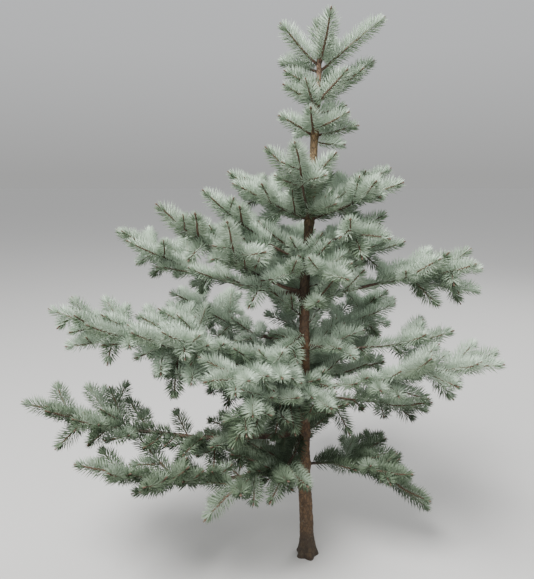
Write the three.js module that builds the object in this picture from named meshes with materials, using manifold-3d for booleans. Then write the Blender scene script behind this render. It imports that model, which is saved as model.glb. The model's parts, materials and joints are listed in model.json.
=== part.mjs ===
// A young blue spruce, rooted in the ground: one leaning trunk, main boughs in whorls,
// and masses of needled shoots. Millimetres, +Z up, the origin in the flat cut at ground level.
// Heading 0 points along +X and heading 90 along +Y.

import * as THREE from "three";
import Module from "manifold-3d";

const wasm = await Module();
wasm.setup();

// Clearances
const SEAT_GAP = 0.3; // between a stem and the limb that carries it
const SHOOT_GAP = 3; // between the needles of two masses

// Trunk: sideways lean and radius, each by height
const TRUNK_TIP = 1316;
const TRUNK_LEAN = [
  [0, 0],
  [330, -13],
  [720, -16],
  [1030, 0],
  [1220, 9],
  [TRUNK_TIP, 4],
];
const TRUNK_RADIUS = [
  [0, 22],
  [60, 18.5],
  [330, 15.5],
  [700, 12.2],
  [1050, 8.9],
  [1200, 5.2],
  [TRUNK_TIP, 1.6],
];
const TRUNK_SIDES = 10;
const TRUNK_RINGS = 24;
const RING_CROWDING = 1.15; // rings stand closer together towards the foot
const FLARE_HEIGHT = 70; // over which the root flare dies away
const FLARE_SPREAD = 0.27; // of the trunk's radius, at the ground
const FLARE_LOBING = 0.18; // how far the root lobes stand out of the flare
const FLARE_LOBES = 5;
const WHORL_SWELL = 0.14; // the trunk is this much thicker where a whorl leaves it
const WHORL_SWELL_HEIGHT = 16;
const END_BUD = 7;

// Needles of the leader: a sleeve round the trunk's top
const LEADER_FROM = 1249;
const LEADER_TO = 1308;
const LEADER_RINGS = 3;
const LEADER_SIDES = 5;
const SLEEVE_GAP = 0.9;
const SLEEVE_WALL = 1.4;

// Needles and twigs
const NEEDLE_LENGTH = 27;
const NEEDLE_OUT = 0.74; // share of a needle's length that stands away from its twig
const NEEDLE_AHEAD = 0.6; // share of its length that leans towards the twig's tip
const NEEDLE_SWEEP = 0.3; // how far needles under a twig turn up round it
const NEEDLE_FOOT = 5; // length of the foot that a needle stands on
const NEEDLE_PITCH = 27; // between two rings of needles
const NEEDLE_REACH = 21; // from a twig's axis to its needles' tips
const CORE_SIDES = 3;
const TWIG_RADIUS = 2.9;
const FORK_RADIUS = 2.6;
const TIP_RADIUS = 1.9;
const SUNK_RADIUS = 1.2; // of a side twig's root, deep in the twig that carries it
const STEM_GAIN = 0.35; // a mass's stem on the trunk is thicker by this for each year
const BARE_PITCH = 60; // between two rings of a twig where it has no needles
const TWIG_ROLL = 0.6; // most that a twig's needles are turned round it, in radians

// Growth rule
const SHORTEST_YEAR = 100; // the least length that an axis grows in one year
const PAIR_STEP = 7; // the right twig of a pair leaves its axis this much further out
const SIDE_SHARE = 0.86; // of a year's growth, for the outermost pair of side twigs
const SIDE_GAIN = 0.75; // power by which inner side twigs are longer
const SIDE_LONGEST = 2.15; // years' growth in the longest side twig
const SIDE_ANGLE = 50; // degrees from the axis
const SIDE_ANGLE_SPREAD = 12;
const SIDE_LIFT = 12; // degrees above the plane of the branch
const SIDE_LIFT_SPREAD = 18;
const SIZE_SPREAD = 0.28; // of a twig's length, between the shortest and the longest
const UPTURN = 0.1; // how far a twig's tip bends up, as a share of its length
const NEEDLED_LENGTH = 100; // outer part of a twig that carries needles
const AXIS_NEEDLED = 0.86; // of a year's growth, on the axis beyond its last fork
const FORK_CLEAR = 24; // from a fork to the first needles of a twig
const FORK_FROM = 1.6; // years' growth from which a side twig forks again
const FORK_SHARE = 0.72; // of a year's growth, for the twigs of such a fork
const STEM_CLEAR = 26; // from the trunk to the first needles of a mass that sits on it

// Boughs
const LIMB_SAG = 0.07; // how far a long limb hangs below its chord, as a share of its reach
const SAG_FROM = 250; // reach from which a limb sags
const BOUGH_SIDES = 6;
const BOUGH_RINGS = 5;
const BOUGH_TAPER = 0.62; // a bough's thickness at its tip against its root
const BOUGH_THICKNESS = 0.0125; // radius at the root, as a share of the limb's length
const BOUGH_ROOT_LEAST = 4.2;

// Whorls from the top down. Each limb has a heading in degrees, a reach from the trunk's axis,
// a rise from its root to its tip, the bare length of its bough (0 for a limb that is needled
// from the trunk on), how far above its whorl it leaves the trunk, and for a limb that arches and
// droops, how far its middle stands above its chord.
const WHORLS = [
  {
    height: 1226,
    years: 1,
    limbs: {
      top_front: [285, 73, 100, 0, 5],
      top_right: [352, 135, 104, 0, -7],
      top_left: [192, 88, 80, 0, 4],
      top_back_left: [138, 112, 40, 0, -9],
      top_back_right: [66, 112, 70, 0, 9],
    },
  },
  {
    height: 1150,
    years: 2,
    limbs: {
      second_left: [192, 78, 40],
      second_front: [308, 88, 58],
      second_right: [18, 134, 98],
      second_back: [112, 122, 66],
    },
  },
  {
    height: 1082,
    years: 2,
    limbs: {
      third_left: [198, 86, 38],
      third_front: [258, 62, 52],
      third_right: [350, 96, 18],
      third_back: [88, 138, 44],
    },
  },
  {
    height: 885,
    years: 3,
    limbs: {
      fourth_front: [256, 178, 170],
      fourth_right: [335, 212, 92],
      fourth_left: [196, 182, 88],
      fourth_back_left: [138, 236, 100],
      fourth_back_right: [48, 246, 108],
    },
  },
  {
    height: 790,
    years: 4,
    limbs: {
      fifth_left: [208, 256, 170, 120],
      fifth_front: [292, 196, 6, 0, -14],
      fifth_right: [322, 212, 54, 0, 16, 25],
      fifth_back_left: [118, 318, 96],
      fifth_back_right: [38, 285, 45],
    },
  },
  {
    height: 702,
    years: 5,
    limbs: {
      sixth_left: [210, 360, 220, 130, 12],
      sixth_back_left: [160, 524, 138, 200, 8],
      sixth_right: [355, 410, 78, 170, 0, 3],
      sixth_back: [84, 420, 70],
    },
  },
  {
    height: 584,
    years: 6,
    limbs: {
      seventh_left: [190, 588, 140, 170, -26],
      seventh_right: [346, 345, 58, 150],
      seventh_front_left: [229, 330, 0],
      seventh_back_left: [136, 500, 70, 200],
      seventh_back_right: [56, 460, 56, 180],
    },
  },
  {
    height: 468,
    years: 6,
    limbs: {
      eighth_front_left: [238, 268, 90],
      eighth_front: [286, 176, 22],
      eighth_right: [335, 450, 132, 200, 0, 3],
      eighth_back_left: [150, 520, 60],
      eighth_back_right: [70, 500, 50],
    },
  },
  {
    height: 352,
    years: 7,
    limbs: {
      ninth_left: [190, 664, 132, 335],
      ninth_right: [8, 330, -64, 130, 100, 6],
      ninth_front: [246, 215, -75],
      ninth_back: [90, 530, 30, 220],
    },
  },
  {
    height: 262,
    years: 7,
    limbs: {
      tenth_left: [204, 552, 124, 230],
      tenth_front_left: [224, 322, -12, 0, 0, 45],
      tenth_right: [4, 340, -150, 0, 0, 50],
      tenth_back: [124, 440, -20],
    },
  },
];

// Random streams: each limb has its own
const FIRST_SEED = 1000;
const SEED_STEP = 7919;

const PAINTS = {
  trunk: { color: 0x6b5347, roughness: 0.9, metalness: 0 },
  bough: { color: 0x5d463c, roughness: 0.9, metalness: 0 },
  needles: { color: 0x8fa6a3, roughness: 0.75, metalness: 0 },
};

const UP = new THREE.Vector3(0, 0, 1);
const { clamp, degToRad, lerp } = THREE.MathUtils;

// Random numbers between 0 and 1, the same in each run.
function stream(seed) {
  let state = seed >>> 0;
  return () => {
    state = (Math.imul(state, 1664525) + 1013904223) >>> 0;
    return state / 2 ** 32;
  };
}

// The value at height z in a table of [height, value], straight or eased from row to row.
function tableValue(table, z, eased) {
  const found = table.findIndex((row) => row[0] >= z);
  const i = Math.max(1, found);
  const [low, from] = table[i - 1];
  const [high, to] = table[i];
  const share = clamp((z - low) / (high - low), 0, 1);
  return lerp(from, to, eased ? share * share * (3 - 2 * share) : share);
}

function trunkCentre(z) {
  return new THREE.Vector3(tableValue(TRUNK_LEAN, z, true), 0, z);
}

function trunkRadius(z) {
  const near = WHORLS.map((whorl) => Math.exp(-(((z - whorl.height) / WHORL_SWELL_HEIGHT) ** 2)));
  const swell = near.reduce((sum, one) => sum + one, 0);
  return tableValue(TRUNK_RADIUS, z, false) * (1 + WHORL_SWELL * swell);
}

// A closed shell in the making: points, and faces that turn the same way round.
class Shell {
  points = [];
  faces = [];

  add(point) {
    this.points.push(point);
    return this.points.length - 1;
  }

  // A flat end across a ring of points, facing along the limb or back.
  cap(ring, along) {
    for (let i = 1; i < ring.length - 1; i++) {
      const face = [ring[0], ring[i], ring[i + 1]];
      this.faces.push(along ? face : face.reverse());
    }
  }

  // Faces from a ring to one point.
  cone(ring, apex) {
    ring.forEach((a, i) => this.faces.push([a, ring[(i + 1) % ring.length], apex]));
  }

  // Faces between two rings of as many points.
  band(low, high) {
    low.forEach((a, i) => {
      const j = (i + 1) % low.length;
      this.faces.push([a, low[j], high[j]], [a, high[j], high[i]]);
    });
  }

  solid() {
    return new wasm.Manifold(
      new wasm.Mesh({
        numProp: 3,
        vertProperties: new Float32Array(this.points.flatMap((p) => [p.x, p.y, p.z])),
        triVerts: new Uint32Array(this.faces.flat()),
      }),
    );
  }
}

// A solid as a named mesh.
function named(name, solid, paint) {
  const { numProp, vertProperties, triVerts } = solid.getMesh();
  const positions = new Float32Array((vertProperties.length / numProp) * 3);
  for (let i = 0; i < positions.length / 3; i++) {
    positions.set(vertProperties.subarray(i * numProp, i * numProp + 3), i * 3);
  }
  const geometry = new THREE.BufferGeometry();
  geometry.setAttribute("position", new THREE.BufferAttribute(positions, 3));
  geometry.setIndex(new THREE.BufferAttribute(new Uint32Array(triVerts), 1));
  const mesh = new THREE.Mesh(geometry, new THREE.MeshStandardMaterial(PAINTS[paint]));
  mesh.name = name;
  return mesh;
}

// The largest body of a fused solid: a hollow sealed in it is filled and a loose scrap dropped.
function wholeBody(solid) {
  return solid.decompose().reduce((best, body) => (body.volume() > best.volume() ? body : best));
}

// The trunk from its flat foot to its end bud, or the same shape grown outwards.
function makeTrunk(grown) {
  const shell = new Shell();
  let last = null;
  for (let i = 0; i <= TRUNK_RINGS; i++) {
    const z = TRUNK_TIP * (i / TRUNK_RINGS) ** RING_CROWDING;
    const fading = Math.max(0, 1 - z / FLARE_HEIGHT) ** 2;
    const ring = [];
    for (let side = 0; side < TRUNK_SIDES; side++) {
      const turn = (2 * Math.PI * side) / TRUNK_SIDES;
      const flare = fading * (FLARE_SPREAD + FLARE_LOBING * Math.cos(FLARE_LOBES * turn));
      const radius = trunkRadius(z) * (1 + flare) + grown;
      const out = new THREE.Vector3(Math.cos(turn), Math.sin(turn), 0);
      ring.push(shell.add(trunkCentre(z).addScaledVector(out, radius)));
    }
    if (last) shell.band(last, ring);
    else shell.cap(ring, false);
    last = ring;
  }
  shell.cone(last, shell.add(trunkCentre(TRUNK_TIP).addScaledVector(UP, END_BUD + grown)));
  return shell.solid();
}

// Two directions across another: side is level, and over points up from it.
function across(direction) {
  const side = new THREE.Vector3().crossVectors(direction, UP);
  if (side.length() < 0.2) side.set(1, 0, 0);
  side.normalize();
  const over = new THREE.Vector3().crossVectors(side, direction).normalize();
  return { side, over };
}

function addRing(shell, centre, direction, radius, sides, turn) {
  const { side, over } = across(direction);
  const ring = [];
  for (let i = 0; i < sides; i++) {
    const angle = turn - (2 * Math.PI * i) / sides;
    const point = centre.clone().addScaledVector(side, radius * Math.cos(angle));
    ring.push(shell.add(point.addScaledVector(over, radius * Math.sin(angle))));
  }
  return ring;
}

// The direction of a line at a share of its length.
function aimAt(line, share) {
  const step = 0.01;
  const ahead = line(Math.min(1, share + step));
  return ahead.sub(line(Math.max(0, share - step))).normalize();
}

// A limb's centre line from the trunk's axis to its tip, by share of its reach.
function limbLine(height, turn, reach, rise, arch) {
  const out = new THREE.Vector3(Math.cos(degToRad(turn)), Math.sin(degToRad(turn)), 0);
  const root = trunkCentre(height);
  const sag = reach > SAG_FROM ? LIMB_SAG * reach : 0;
  const bow = arch > 0 ? arch : -sag;
  return (share) => {
    const lift = rise * share + 4 * bow * share * (1 - share);
    return root.clone().addScaledVector(out, reach * share).addScaledVector(UP, lift);
  };
}

// A twig's centre line, bending up towards its tip.
function twigLine(root, aim, length) {
  return (share) => {
    const lift = UPTURN * length * share * share;
    return root.clone().addScaledVector(aim, length * share).addScaledVector(UP, lift);
  };
}

// A direction turned sideways from an axis and lifted over it.
function turned(axis, hand, angle, lift) {
  const { side, over } = across(axis);
  const aim = axis.clone().multiplyScalar(Math.cos(degToRad(angle)));
  aim.addScaledVector(side, hand * Math.sin(degToRad(angle)));
  return aim.addScaledVector(over, Math.sin(degToRad(lift))).normalize();
}

// A bough: a bare tapering limb from inside the trunk to where its mass begins.
function makeBough(limb) {
  const shell = new Shell();
  let last = null;
  for (let i = 0; i <= BOUGH_RINGS; i++) {
    const share = (i / BOUGH_RINGS) * limb.start;
    const radius = limb.radius * lerp(1, BOUGH_TAPER, i / BOUGH_RINGS);
    const aim = aimAt(limb.line, share);
    const ring = addRing(shell, limb.line(share), aim, radius, BOUGH_SIDES, 0);
    if (last) shell.band(last, ring);
    else shell.cap(ring, false);
    last = ring;
  }
  shell.cap(last, true);
  return shell.solid();
}

// A foot between two rings, each side of it drawn out to one needle.
function standNeedles(shell, low, high, direction, sweep) {
  const { over } = across(direction);
  const hub = new THREE.Vector3();
  low.forEach((a) => hub.addScaledVector(shell.points[a], 1 / low.length));
  low.forEach((a, i) => {
    const j = (i + 1) % low.length;
    const foot = [a, low[j], high[j], high[i]];
    const middle = new THREE.Vector3();
    foot.forEach((k) => middle.addScaledVector(shell.points[k], 1 / foot.length));
    const out = middle.clone().sub(hub);
    out.addScaledVector(direction, -out.dot(direction)).normalize();
    out.addScaledVector(over, sweep).normalize();
    middle.addScaledVector(out, NEEDLE_LENGTH * NEEDLE_OUT);
    middle.addScaledVector(direction, NEEDLE_LENGTH * NEEDLE_AHEAD);
    shell.cone(foot, shell.add(middle));
  });
}

// The places along a twig where its core has a ring: bare ones, then feet for needles.
function twigStations(length, needled) {
  const start = Math.max(0, 1 - needled / length);
  const feet = Math.max(1, Math.round(needled / NEEDLE_PITCH));
  const bare = Math.max(1, Math.ceil((start * length) / BARE_PITCH));
  const stations = [];
  for (let i = 0; i < bare; i++) {
    stations.push({ share: (start * i) / bare, foot: false, turns: 0 });
  }
  for (let i = 0; i < feet; i++) {
    const share = start + ((1 - start) * (i + 0.25)) / feet;
    stations.push({ share, foot: true, turns: i });
    stations.push({ share: share + NEEDLE_FOOT / length, foot: false, turns: i });
  }
  stations.push({ share: 1, foot: false, turns: feet - 1 });
  return stations;
}

// A twig: a slim three-sided core that rings of needles stand out of, with a bud at its tip.
function makeTwig({ line, length, thick, root = SUNK_RADIUS, needled, roll = 0 }) {
  const shell = new Shell();
  let last = null;
  for (const { share, foot, turns } of twigStations(length, needled)) {
    const aim = aimAt(line, share);
    const radius = share === 0 ? root : lerp(thick, TIP_RADIUS, share);
    const turn = Math.PI / 2 + roll + (turns * Math.PI) / CORE_SIDES;
    const ring = addRing(shell, line(share), aim, radius, CORE_SIDES, turn);
    if (!last) shell.cap(ring, false);
    else if (last.foot) standNeedles(shell, last.ring, ring, aim, NEEDLE_SWEEP);
    else shell.band(last.ring, ring);
    last = { ring, foot };
  }
  const bud = line(1).addScaledVector(aimAt(line, 1), 3 * TIP_RADIUS);
  shell.cone(last.ring, shell.add(bud));
  return shell.solid();
}

// A pair of side twigs, left and right, from one place on an axis.
function growPair(axis, share, random, { size, thick, liftSpread }) {
  const direction = aimAt(axis.line, share);
  return [-1, 1].map((hand) => {
    const root = axis.line(share + (hand > 0 ? PAIR_STEP / axis.length : 0));
    const angle = SIDE_ANGLE + SIDE_ANGLE_SPREAD * (random() - 0.5);
    const lift = SIDE_LIFT + liftSpread * (random() - 0.5);
    const length = size * (1 + SIZE_SPREAD * (random() - 0.5));
    const roll = TWIG_ROLL * random();
    const aim = turned(direction, hand, angle, lift);
    const needled = Math.min(NEEDLED_LENGTH, length - FORK_CLEAR);
    return { line: twigLine(root, aim, length), length, thick, needled, roll };
  });
}

// The twigs of one mass: its axis, then pairs of side twigs, one for each year from the tip.
function growTwigs(limb) {
  const { line, length, random, start } = limb;
  const years = clamp(Math.floor(length / SHORTEST_YEAR), 1, limb.years);
  const year = length / years;
  const onTrunk = limb.bare === 0;
  const from = onTrunk ? 0 : start + SEAT_GAP / length;
  const clear = onTrunk ? trunkRadius(limb.height) + STEM_CLEAR : 0;
  const thick = onTrunk ? TWIG_RADIUS + STEM_GAIN * years : limb.radius * BOUGH_TAPER;
  const axis = {
    line: (share) => line(lerp(from, 1, share)),
    length: length * (1 - from),
    thick,
    root: thick,
  };
  axis.needled = Math.min(years > 1 ? year * AXIS_NEEDLED : length, axis.length - clear);
  const twigs = [axis];
  for (let k = 1; k < years; k++) {
    const share = 1 - k / years;
    if (share * length < Math.max(clear, limb.bare + FORK_CLEAR)) break;
    const gain = Math.min(SIDE_LONGEST, SIDE_SHARE * k ** SIDE_GAIN);
    const pair = growPair({ line, length }, share, random, {
      size: year * gain,
      thick: TWIG_RADIUS,
      liftSpread: SIDE_LIFT_SPREAD,
    });
    for (const twig of pair) {
      twigs.push(twig);
      if (gain < FORK_FROM) continue;
      const forkShare = 1 - (SIDE_SHARE * year) / twig.length;
      const size = FORK_SHARE * year;
      twigs.push(...growPair(twig, forkShare, random, { size, thick: FORK_RADIUS, liftSpread: 0 }));
    }
  }
  return twigs;
}

// The nearest distance between two straight pieces, each from a to b.
function pieceDistance(p, q) {
  const alongP = p.b.clone().sub(p.a);
  const alongQ = q.b.clone().sub(q.a);
  const apart = p.a.clone().sub(q.a);
  const pp = alongP.dot(alongP);
  const qq = alongQ.dot(alongQ);
  const pq = alongP.dot(alongQ);
  const pa = alongP.dot(apart);
  const qa = alongQ.dot(apart);
  const spread = pp * qq - pq * pq;
  let s = spread > 0 ? clamp((pq * qa - pa * qq) / spread, 0, 1) : 0;
  const t = clamp((pq * s + qa) / qq, 0, 1);
  s = clamp((pq * t - pa) / pp, 0, 1);
  const onP = p.a.clone().addScaledVector(alongP, s);
  return onP.distanceTo(q.a.clone().addScaledVector(alongQ, t));
}

// The space that a twig takes: straight pieces, each with the reach of what stands on it.
function twigSpace({ line, length, needled, thick }) {
  const start = Math.max(0, 1 - needled / length);
  const middle = (start + 1) / 2;
  const pieces = [
    { a: line(start), b: line(middle), reach: NEEDLE_REACH },
    { a: line(middle), b: line(1), reach: NEEDLE_REACH },
  ];
  if (start > 0) pieces.push({ a: line(0), b: line(start), reach: thick });
  return pieces;
}

// The space that a limb takes between two places on its line.
function limbSpace(line, from, to, radiusAt, steps) {
  const pieces = [];
  for (let i = 0; i < steps; i++) {
    const low = lerp(from, to, i / steps);
    pieces.push({ a: line(low), b: line(lerp(from, to, (i + 1) / steps)), reach: radiusAt(low) });
  }
  return pieces;
}

function meets(pieces, others) {
  return pieces.some((p) =>
    others.some((q) => pieceDistance(p, q) < p.reach + q.reach + SHOOT_GAP),
  );
}

// Axes stay, and side twigs are kept in turns, one for each mass from its tip inwards.
// A twig that would touch a limb, the ground or the space of another mass is skipped.
function shareSpace(limbs) {
  const trunkSpace = limbSpace(trunkCentre, 0, TRUNK_TIP, trunkRadius, TRUNK_RINGS);
  for (const limb of limbs) {
    limb.grown = growTwigs(limb);
    limb.kept = [limb.grown[0]];
    limb.space = twigSpace(limb.grown[0]);
    limb.boughSpace = limb.bare > 0 ? limbSpace(limb.line, 0, limb.start, () => limb.radius, 3) : [];
  }
  const most = Math.max(...limbs.map((limb) => limb.grown.length));
  for (let turn = 1; turn < most; turn++) {
    for (const limb of limbs.filter((one) => turn < one.grown.length)) {
      const space = twigSpace(limb.grown[turn]);
      const others = limbs.filter((other) => other !== limb);
      const blocked =
        space.some((piece) => piece.b.z < piece.reach) ||
        meets(space, trunkSpace) ||
        others.some((other) => meets(space, other.space) || meets(space, other.boughSpace));
      if (blocked) continue;
      limb.kept.push(limb.grown[turn]);
      limb.space.push(...space);
    }
  }
}

// Needles of the leader: an open sleeve round the trunk's top that needles stand out of.
function makeLeaderNeedles() {
  const shell = new Shell();
  const stations = [{ z: LEADER_FROM, foot: false }];
  for (let i = 0; i < LEADER_RINGS; i++) {
    const z = lerp(LEADER_FROM, LEADER_TO, (i + 0.3) / LEADER_RINGS);
    stations.push({ z, foot: true }, { z: z + NEEDLE_FOOT, foot: false });
  }
  stations.push({ z: LEADER_TO, foot: false });
  const wrap = (z, gap) => {
    const radius = (trunkRadius(z) + gap) / Math.cos(Math.PI / LEADER_SIDES);
    const ring = [];
    for (let i = 0; i < LEADER_SIDES; i++) {
      const turn = (2 * Math.PI * i) / LEADER_SIDES;
      const out = new THREE.Vector3(Math.cos(turn), Math.sin(turn), 0);
      ring.push(shell.add(trunkCentre(z).addScaledVector(out, radius)));
    }
    return ring;
  };
  const inner = stations.map(({ z }) => wrap(z, SLEEVE_GAP));
  const outer = stations.map(({ z }) => wrap(z, SLEEVE_GAP + SLEEVE_WALL));
  for (let i = 0; i + 1 < stations.length; i++) {
    if (stations[i].foot) standNeedles(shell, outer[i], outer[i + 1], UP, 0);
    else shell.band(outer[i], outer[i + 1]);
    shell.band(inner[i + 1], inner[i]);
  }
  shell.band(inner[0], outer[0]);
  shell.band(outer.at(-1), inner.at(-1));
  return shell.solid();
}

// Every limb of the tree, with its line, its thickness and its own random stream.
const limbs = WHORLS.flatMap(({ height, years, limbs: group }) =>
  Object.entries(group).map(([name, [turn, reach, rise, bare = 0, above = 0, arch = 0]]) => {
    const line = limbLine(height + above, turn, reach, rise, arch);
    const length = line(0).distanceTo(line(1));
    const radius = Math.max(BOUGH_ROOT_LEAST, BOUGH_THICKNESS * length);
    return { name, height: height + above, years, bare, line, length, radius, start: bare / length };
  }),
);
limbs.forEach((limb, i) => {
  limb.random = stream(FIRST_SEED + SEED_STEP * i);
});
shareSpace(limbs);

const tree = new THREE.Group();
const trunkAndGap = makeTrunk(SEAT_GAP);
tree.add(named("trunk", makeTrunk(0), "trunk"));
tree.add(named("leader_needles", makeLeaderNeedles(), "needles"));
for (const limb of limbs) {
  if (limb.bare > 0) {
    tree.add(named(limb.name + "_bough", makeBough(limb).subtract(trunkAndGap), "bough"));
  }
  const fused = wasm.Manifold.union(limb.kept.map(makeTwig));
  tree.add(named(limb.name + "_needles", wholeBody(fused.subtract(trunkAndGap)), "needles"));
}

export default tree;
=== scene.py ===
# %% [markdown]
# A young blue spruce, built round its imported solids.
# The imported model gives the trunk, the boughs and the space of each mass of needled shoots.
# This lesson grows the same tree again from the same rule, and carries it on to the fine twigs,
# the needles, the buds and the bark that one sees from a step away.

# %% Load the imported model
import json
import math

import bpy
import numpy as np
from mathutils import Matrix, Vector, noise

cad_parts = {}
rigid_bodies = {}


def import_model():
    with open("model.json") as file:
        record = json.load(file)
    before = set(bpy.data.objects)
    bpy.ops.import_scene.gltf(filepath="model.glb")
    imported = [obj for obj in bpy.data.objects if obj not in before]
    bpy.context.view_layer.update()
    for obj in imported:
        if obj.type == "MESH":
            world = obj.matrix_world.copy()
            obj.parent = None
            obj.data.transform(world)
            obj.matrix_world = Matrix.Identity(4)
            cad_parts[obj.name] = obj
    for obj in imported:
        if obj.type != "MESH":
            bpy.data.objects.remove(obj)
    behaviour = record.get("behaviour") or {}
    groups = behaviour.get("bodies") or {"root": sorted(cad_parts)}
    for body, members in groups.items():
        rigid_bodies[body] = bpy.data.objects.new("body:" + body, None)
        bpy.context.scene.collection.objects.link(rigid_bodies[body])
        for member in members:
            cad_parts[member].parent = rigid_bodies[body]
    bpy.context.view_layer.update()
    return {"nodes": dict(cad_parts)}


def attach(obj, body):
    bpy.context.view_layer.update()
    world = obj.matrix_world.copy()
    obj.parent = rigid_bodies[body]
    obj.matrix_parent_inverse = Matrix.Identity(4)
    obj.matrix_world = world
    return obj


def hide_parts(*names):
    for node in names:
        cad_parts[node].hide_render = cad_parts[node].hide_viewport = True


for spare in list(bpy.data.objects):
    bpy.data.objects.remove(spare)
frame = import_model()
print("solids in the frame:", len(frame["nodes"]))

# %% [markdown]
# The camera comes first, because it settles what every later choice is compared with.
# The tree was seen from a metre above the ground, a step and a half away and a little to its left,
# looking slightly down, with the wide lens of a hand-held camera. The lens follows from the
# focal length in pixels of the picture, so that it holds for any sensor.

# %% Camera
PICTURE_HIGH = 579
FOCAL_PIXELS = 550
EYE = (-0.107, -1.30, 0.994)
LOOKS_DOWN = 11.8

camera_data = bpy.data.cameras.new("camera")
camera_data.lens = camera_data.sensor_width * FOCAL_PIXELS / PICTURE_HIGH
camera = bpy.data.objects.new("camera", camera_data)
camera.location = EYE
camera.rotation_euler = (math.radians(90 - LOOKS_DOWN), 0, 0)
bpy.context.scene.collection.objects.link(camera)
bpy.context.scene.camera = camera
print("lens in mm:", round(camera_data.lens, 2))

# %% [markdown]
# The tree stands alone on a pale, plain floor, which is stage and no part of it. The floor is wide
# enough to end at the horizon, whose tone the surround takes up, so that no edge shows.

# %% Floor
FLOOR_HALF = 40.0
FLOOR_COLOUR = (0.58, 0.57, 0.55, 1)
FLOOR_ROUGHNESS = 0.9


def new_material(name):
    """A material, with its tree of nodes and its shader."""
    material = bpy.data.materials.new(name)
    material.use_nodes = True
    return material, material.node_tree, material.node_tree.nodes["Principled BSDF"]


floor_mesh = bpy.data.meshes.new("floor")
corners = [(x * FLOOR_HALF, y * FLOOR_HALF, 0) for x, y in ((-1, -1), (1, -1), (1, 1), (-1, 1))]
floor_mesh.from_pydata(corners, [], [(0, 1, 2, 3)])
floor = bpy.data.objects.new("floor", floor_mesh)
bpy.context.scene.collection.objects.link(floor)
floor_finish, _, floor_shader = new_material("Pale floor")
floor_shader.inputs["Base Color"].default_value = FLOOR_COLOUR
floor_shader.inputs["Roughness"].default_value = FLOOR_ROUGHNESS
floor_mesh.materials.append(floor_finish)
print("floor is", 2 * FLOOR_HALF, "m wide")

# %% [markdown]
# A tree of nodes is easiest to read as tables: its nodes, the plain values of their inputs, the
# links, and the settings that choose what a node does. One helper wires them all, for the sky, for
# the finishes and for the buds. A second one fills a colour ramp.

# %% Trees of nodes from tables
def wire(tree, kinds, values, links, settings=(), **present):
    """New nodes by their names, joined to those that are present in the tree already."""
    nodes = {**present, **{name: tree.nodes.new(kind) for name, kind in kinds.items()}}
    for name, setting, value in settings:
        setattr(nodes[name], setting, value)
    for name, socket, value in values:
        nodes[name].inputs[socket].default_value = value
    for source, out, target, into in links:
        tree.links.new(nodes[source].outputs[out], nodes[target].inputs[into])
    return nodes


def fill_ramp(ramp, stops):
    """Each stop is a position and a colour, in rising order."""
    while len(ramp.color_ramp.elements) < len(stops):
        ramp.color_ramp.elements.new(1.0)
    for element, (position, colour) in zip(ramp.color_ramp.elements, stops):
        element.position = position
        element.color = (*colour, 1)


print("helpers for nodes:", wire.__name__, "and", fill_ramp.__name__)

# %% [markdown]
# The light outside was that of an even grey sky, brighter overhead than at the horizon. The world
# gives it: one ramp over the height of the direction looked in, from the horizon up.

# %% Surround
SKY_BANDS = [(0.50, (0.56, 0.56, 0.555)), (0.60, (0.80, 0.81, 0.82)), (0.75, (0.95, 0.97, 1.0))]
SKY_STRENGTH = 0.75

world = bpy.context.scene.world or bpy.data.worlds.new("surround")
bpy.context.scene.world = world
world.use_nodes = True
sky = wire(
    world.node_tree,
    {
        "place": "ShaderNodeTexCoord",
        "split": "ShaderNodeSeparateXYZ",
        "share": "ShaderNodeMapRange",
        "ramp": "ShaderNodeValToRGB",
    },
    [("share", "From Min", -1), ("background", "Strength", SKY_STRENGTH)],
    [
        ("place", "Generated", "split", "Vector"),
        ("split", "Z", "share", "Value"),
        ("share", "Result", "ramp", "Fac"),
        ("ramp", "Color", "background", "Color"),
    ],
    background=world.node_tree.nodes["Background"],
)
fill_ramp(sky["ramp"], SKY_BANDS)
print("bands of sky:", len(sky["ramp"].color_ramp.elements))

# %% [markdown]
# Sky alone would leave the tree flat. One wide lamp high on the left gives the shoots a lit side
# without a hard shadow, and a weak one behind on the right lifts the far edge off the surround.

# %% Lamps
KEY_PLACE = (-1.3, -1.9, 4.2)
KEY_SIZE = 1.8
KEY_WATTS = 390
RIM_PLACE = (2.4, 2.2, 2.9)
RIM_SIZE = 2.0
RIM_WATTS = 60
AIM_HEIGHT = 0.65


def soft_lamp(name, place, size, watts):
    lamp = bpy.data.lights.new(name, "AREA")
    lamp.size = size
    lamp.energy = watts
    holder = bpy.data.objects.new(name, lamp)
    holder.location = place
    towards = Vector((0, 0, AIM_HEIGHT)) - Vector(place)
    holder.rotation_euler = towards.to_track_quat("-Z", "Y").to_euler()
    bpy.context.scene.collection.objects.link(holder)
    return holder


lamps = [
    soft_lamp("key lamp", KEY_PLACE, KEY_SIZE, KEY_WATTS),
    soft_lamp("rim lamp", RIM_PLACE, RIM_SIZE, RIM_WATTS),
]
print("lamps:", [lamp.name for lamp in lamps])

# %% [markdown]
# The tree's driving sizes are those of its construction, in millimetres: the trunk's lean and
# taper, each whorl's height and years of growth, and for each limb a heading, a reach, a rise, the
# bare length of its bough, how far above its whorl it leaves the trunk and, for one that arches,
# how far its middle stands above its chord. They are written here again, so that what is grown
# below stands where the solids stand.

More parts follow.
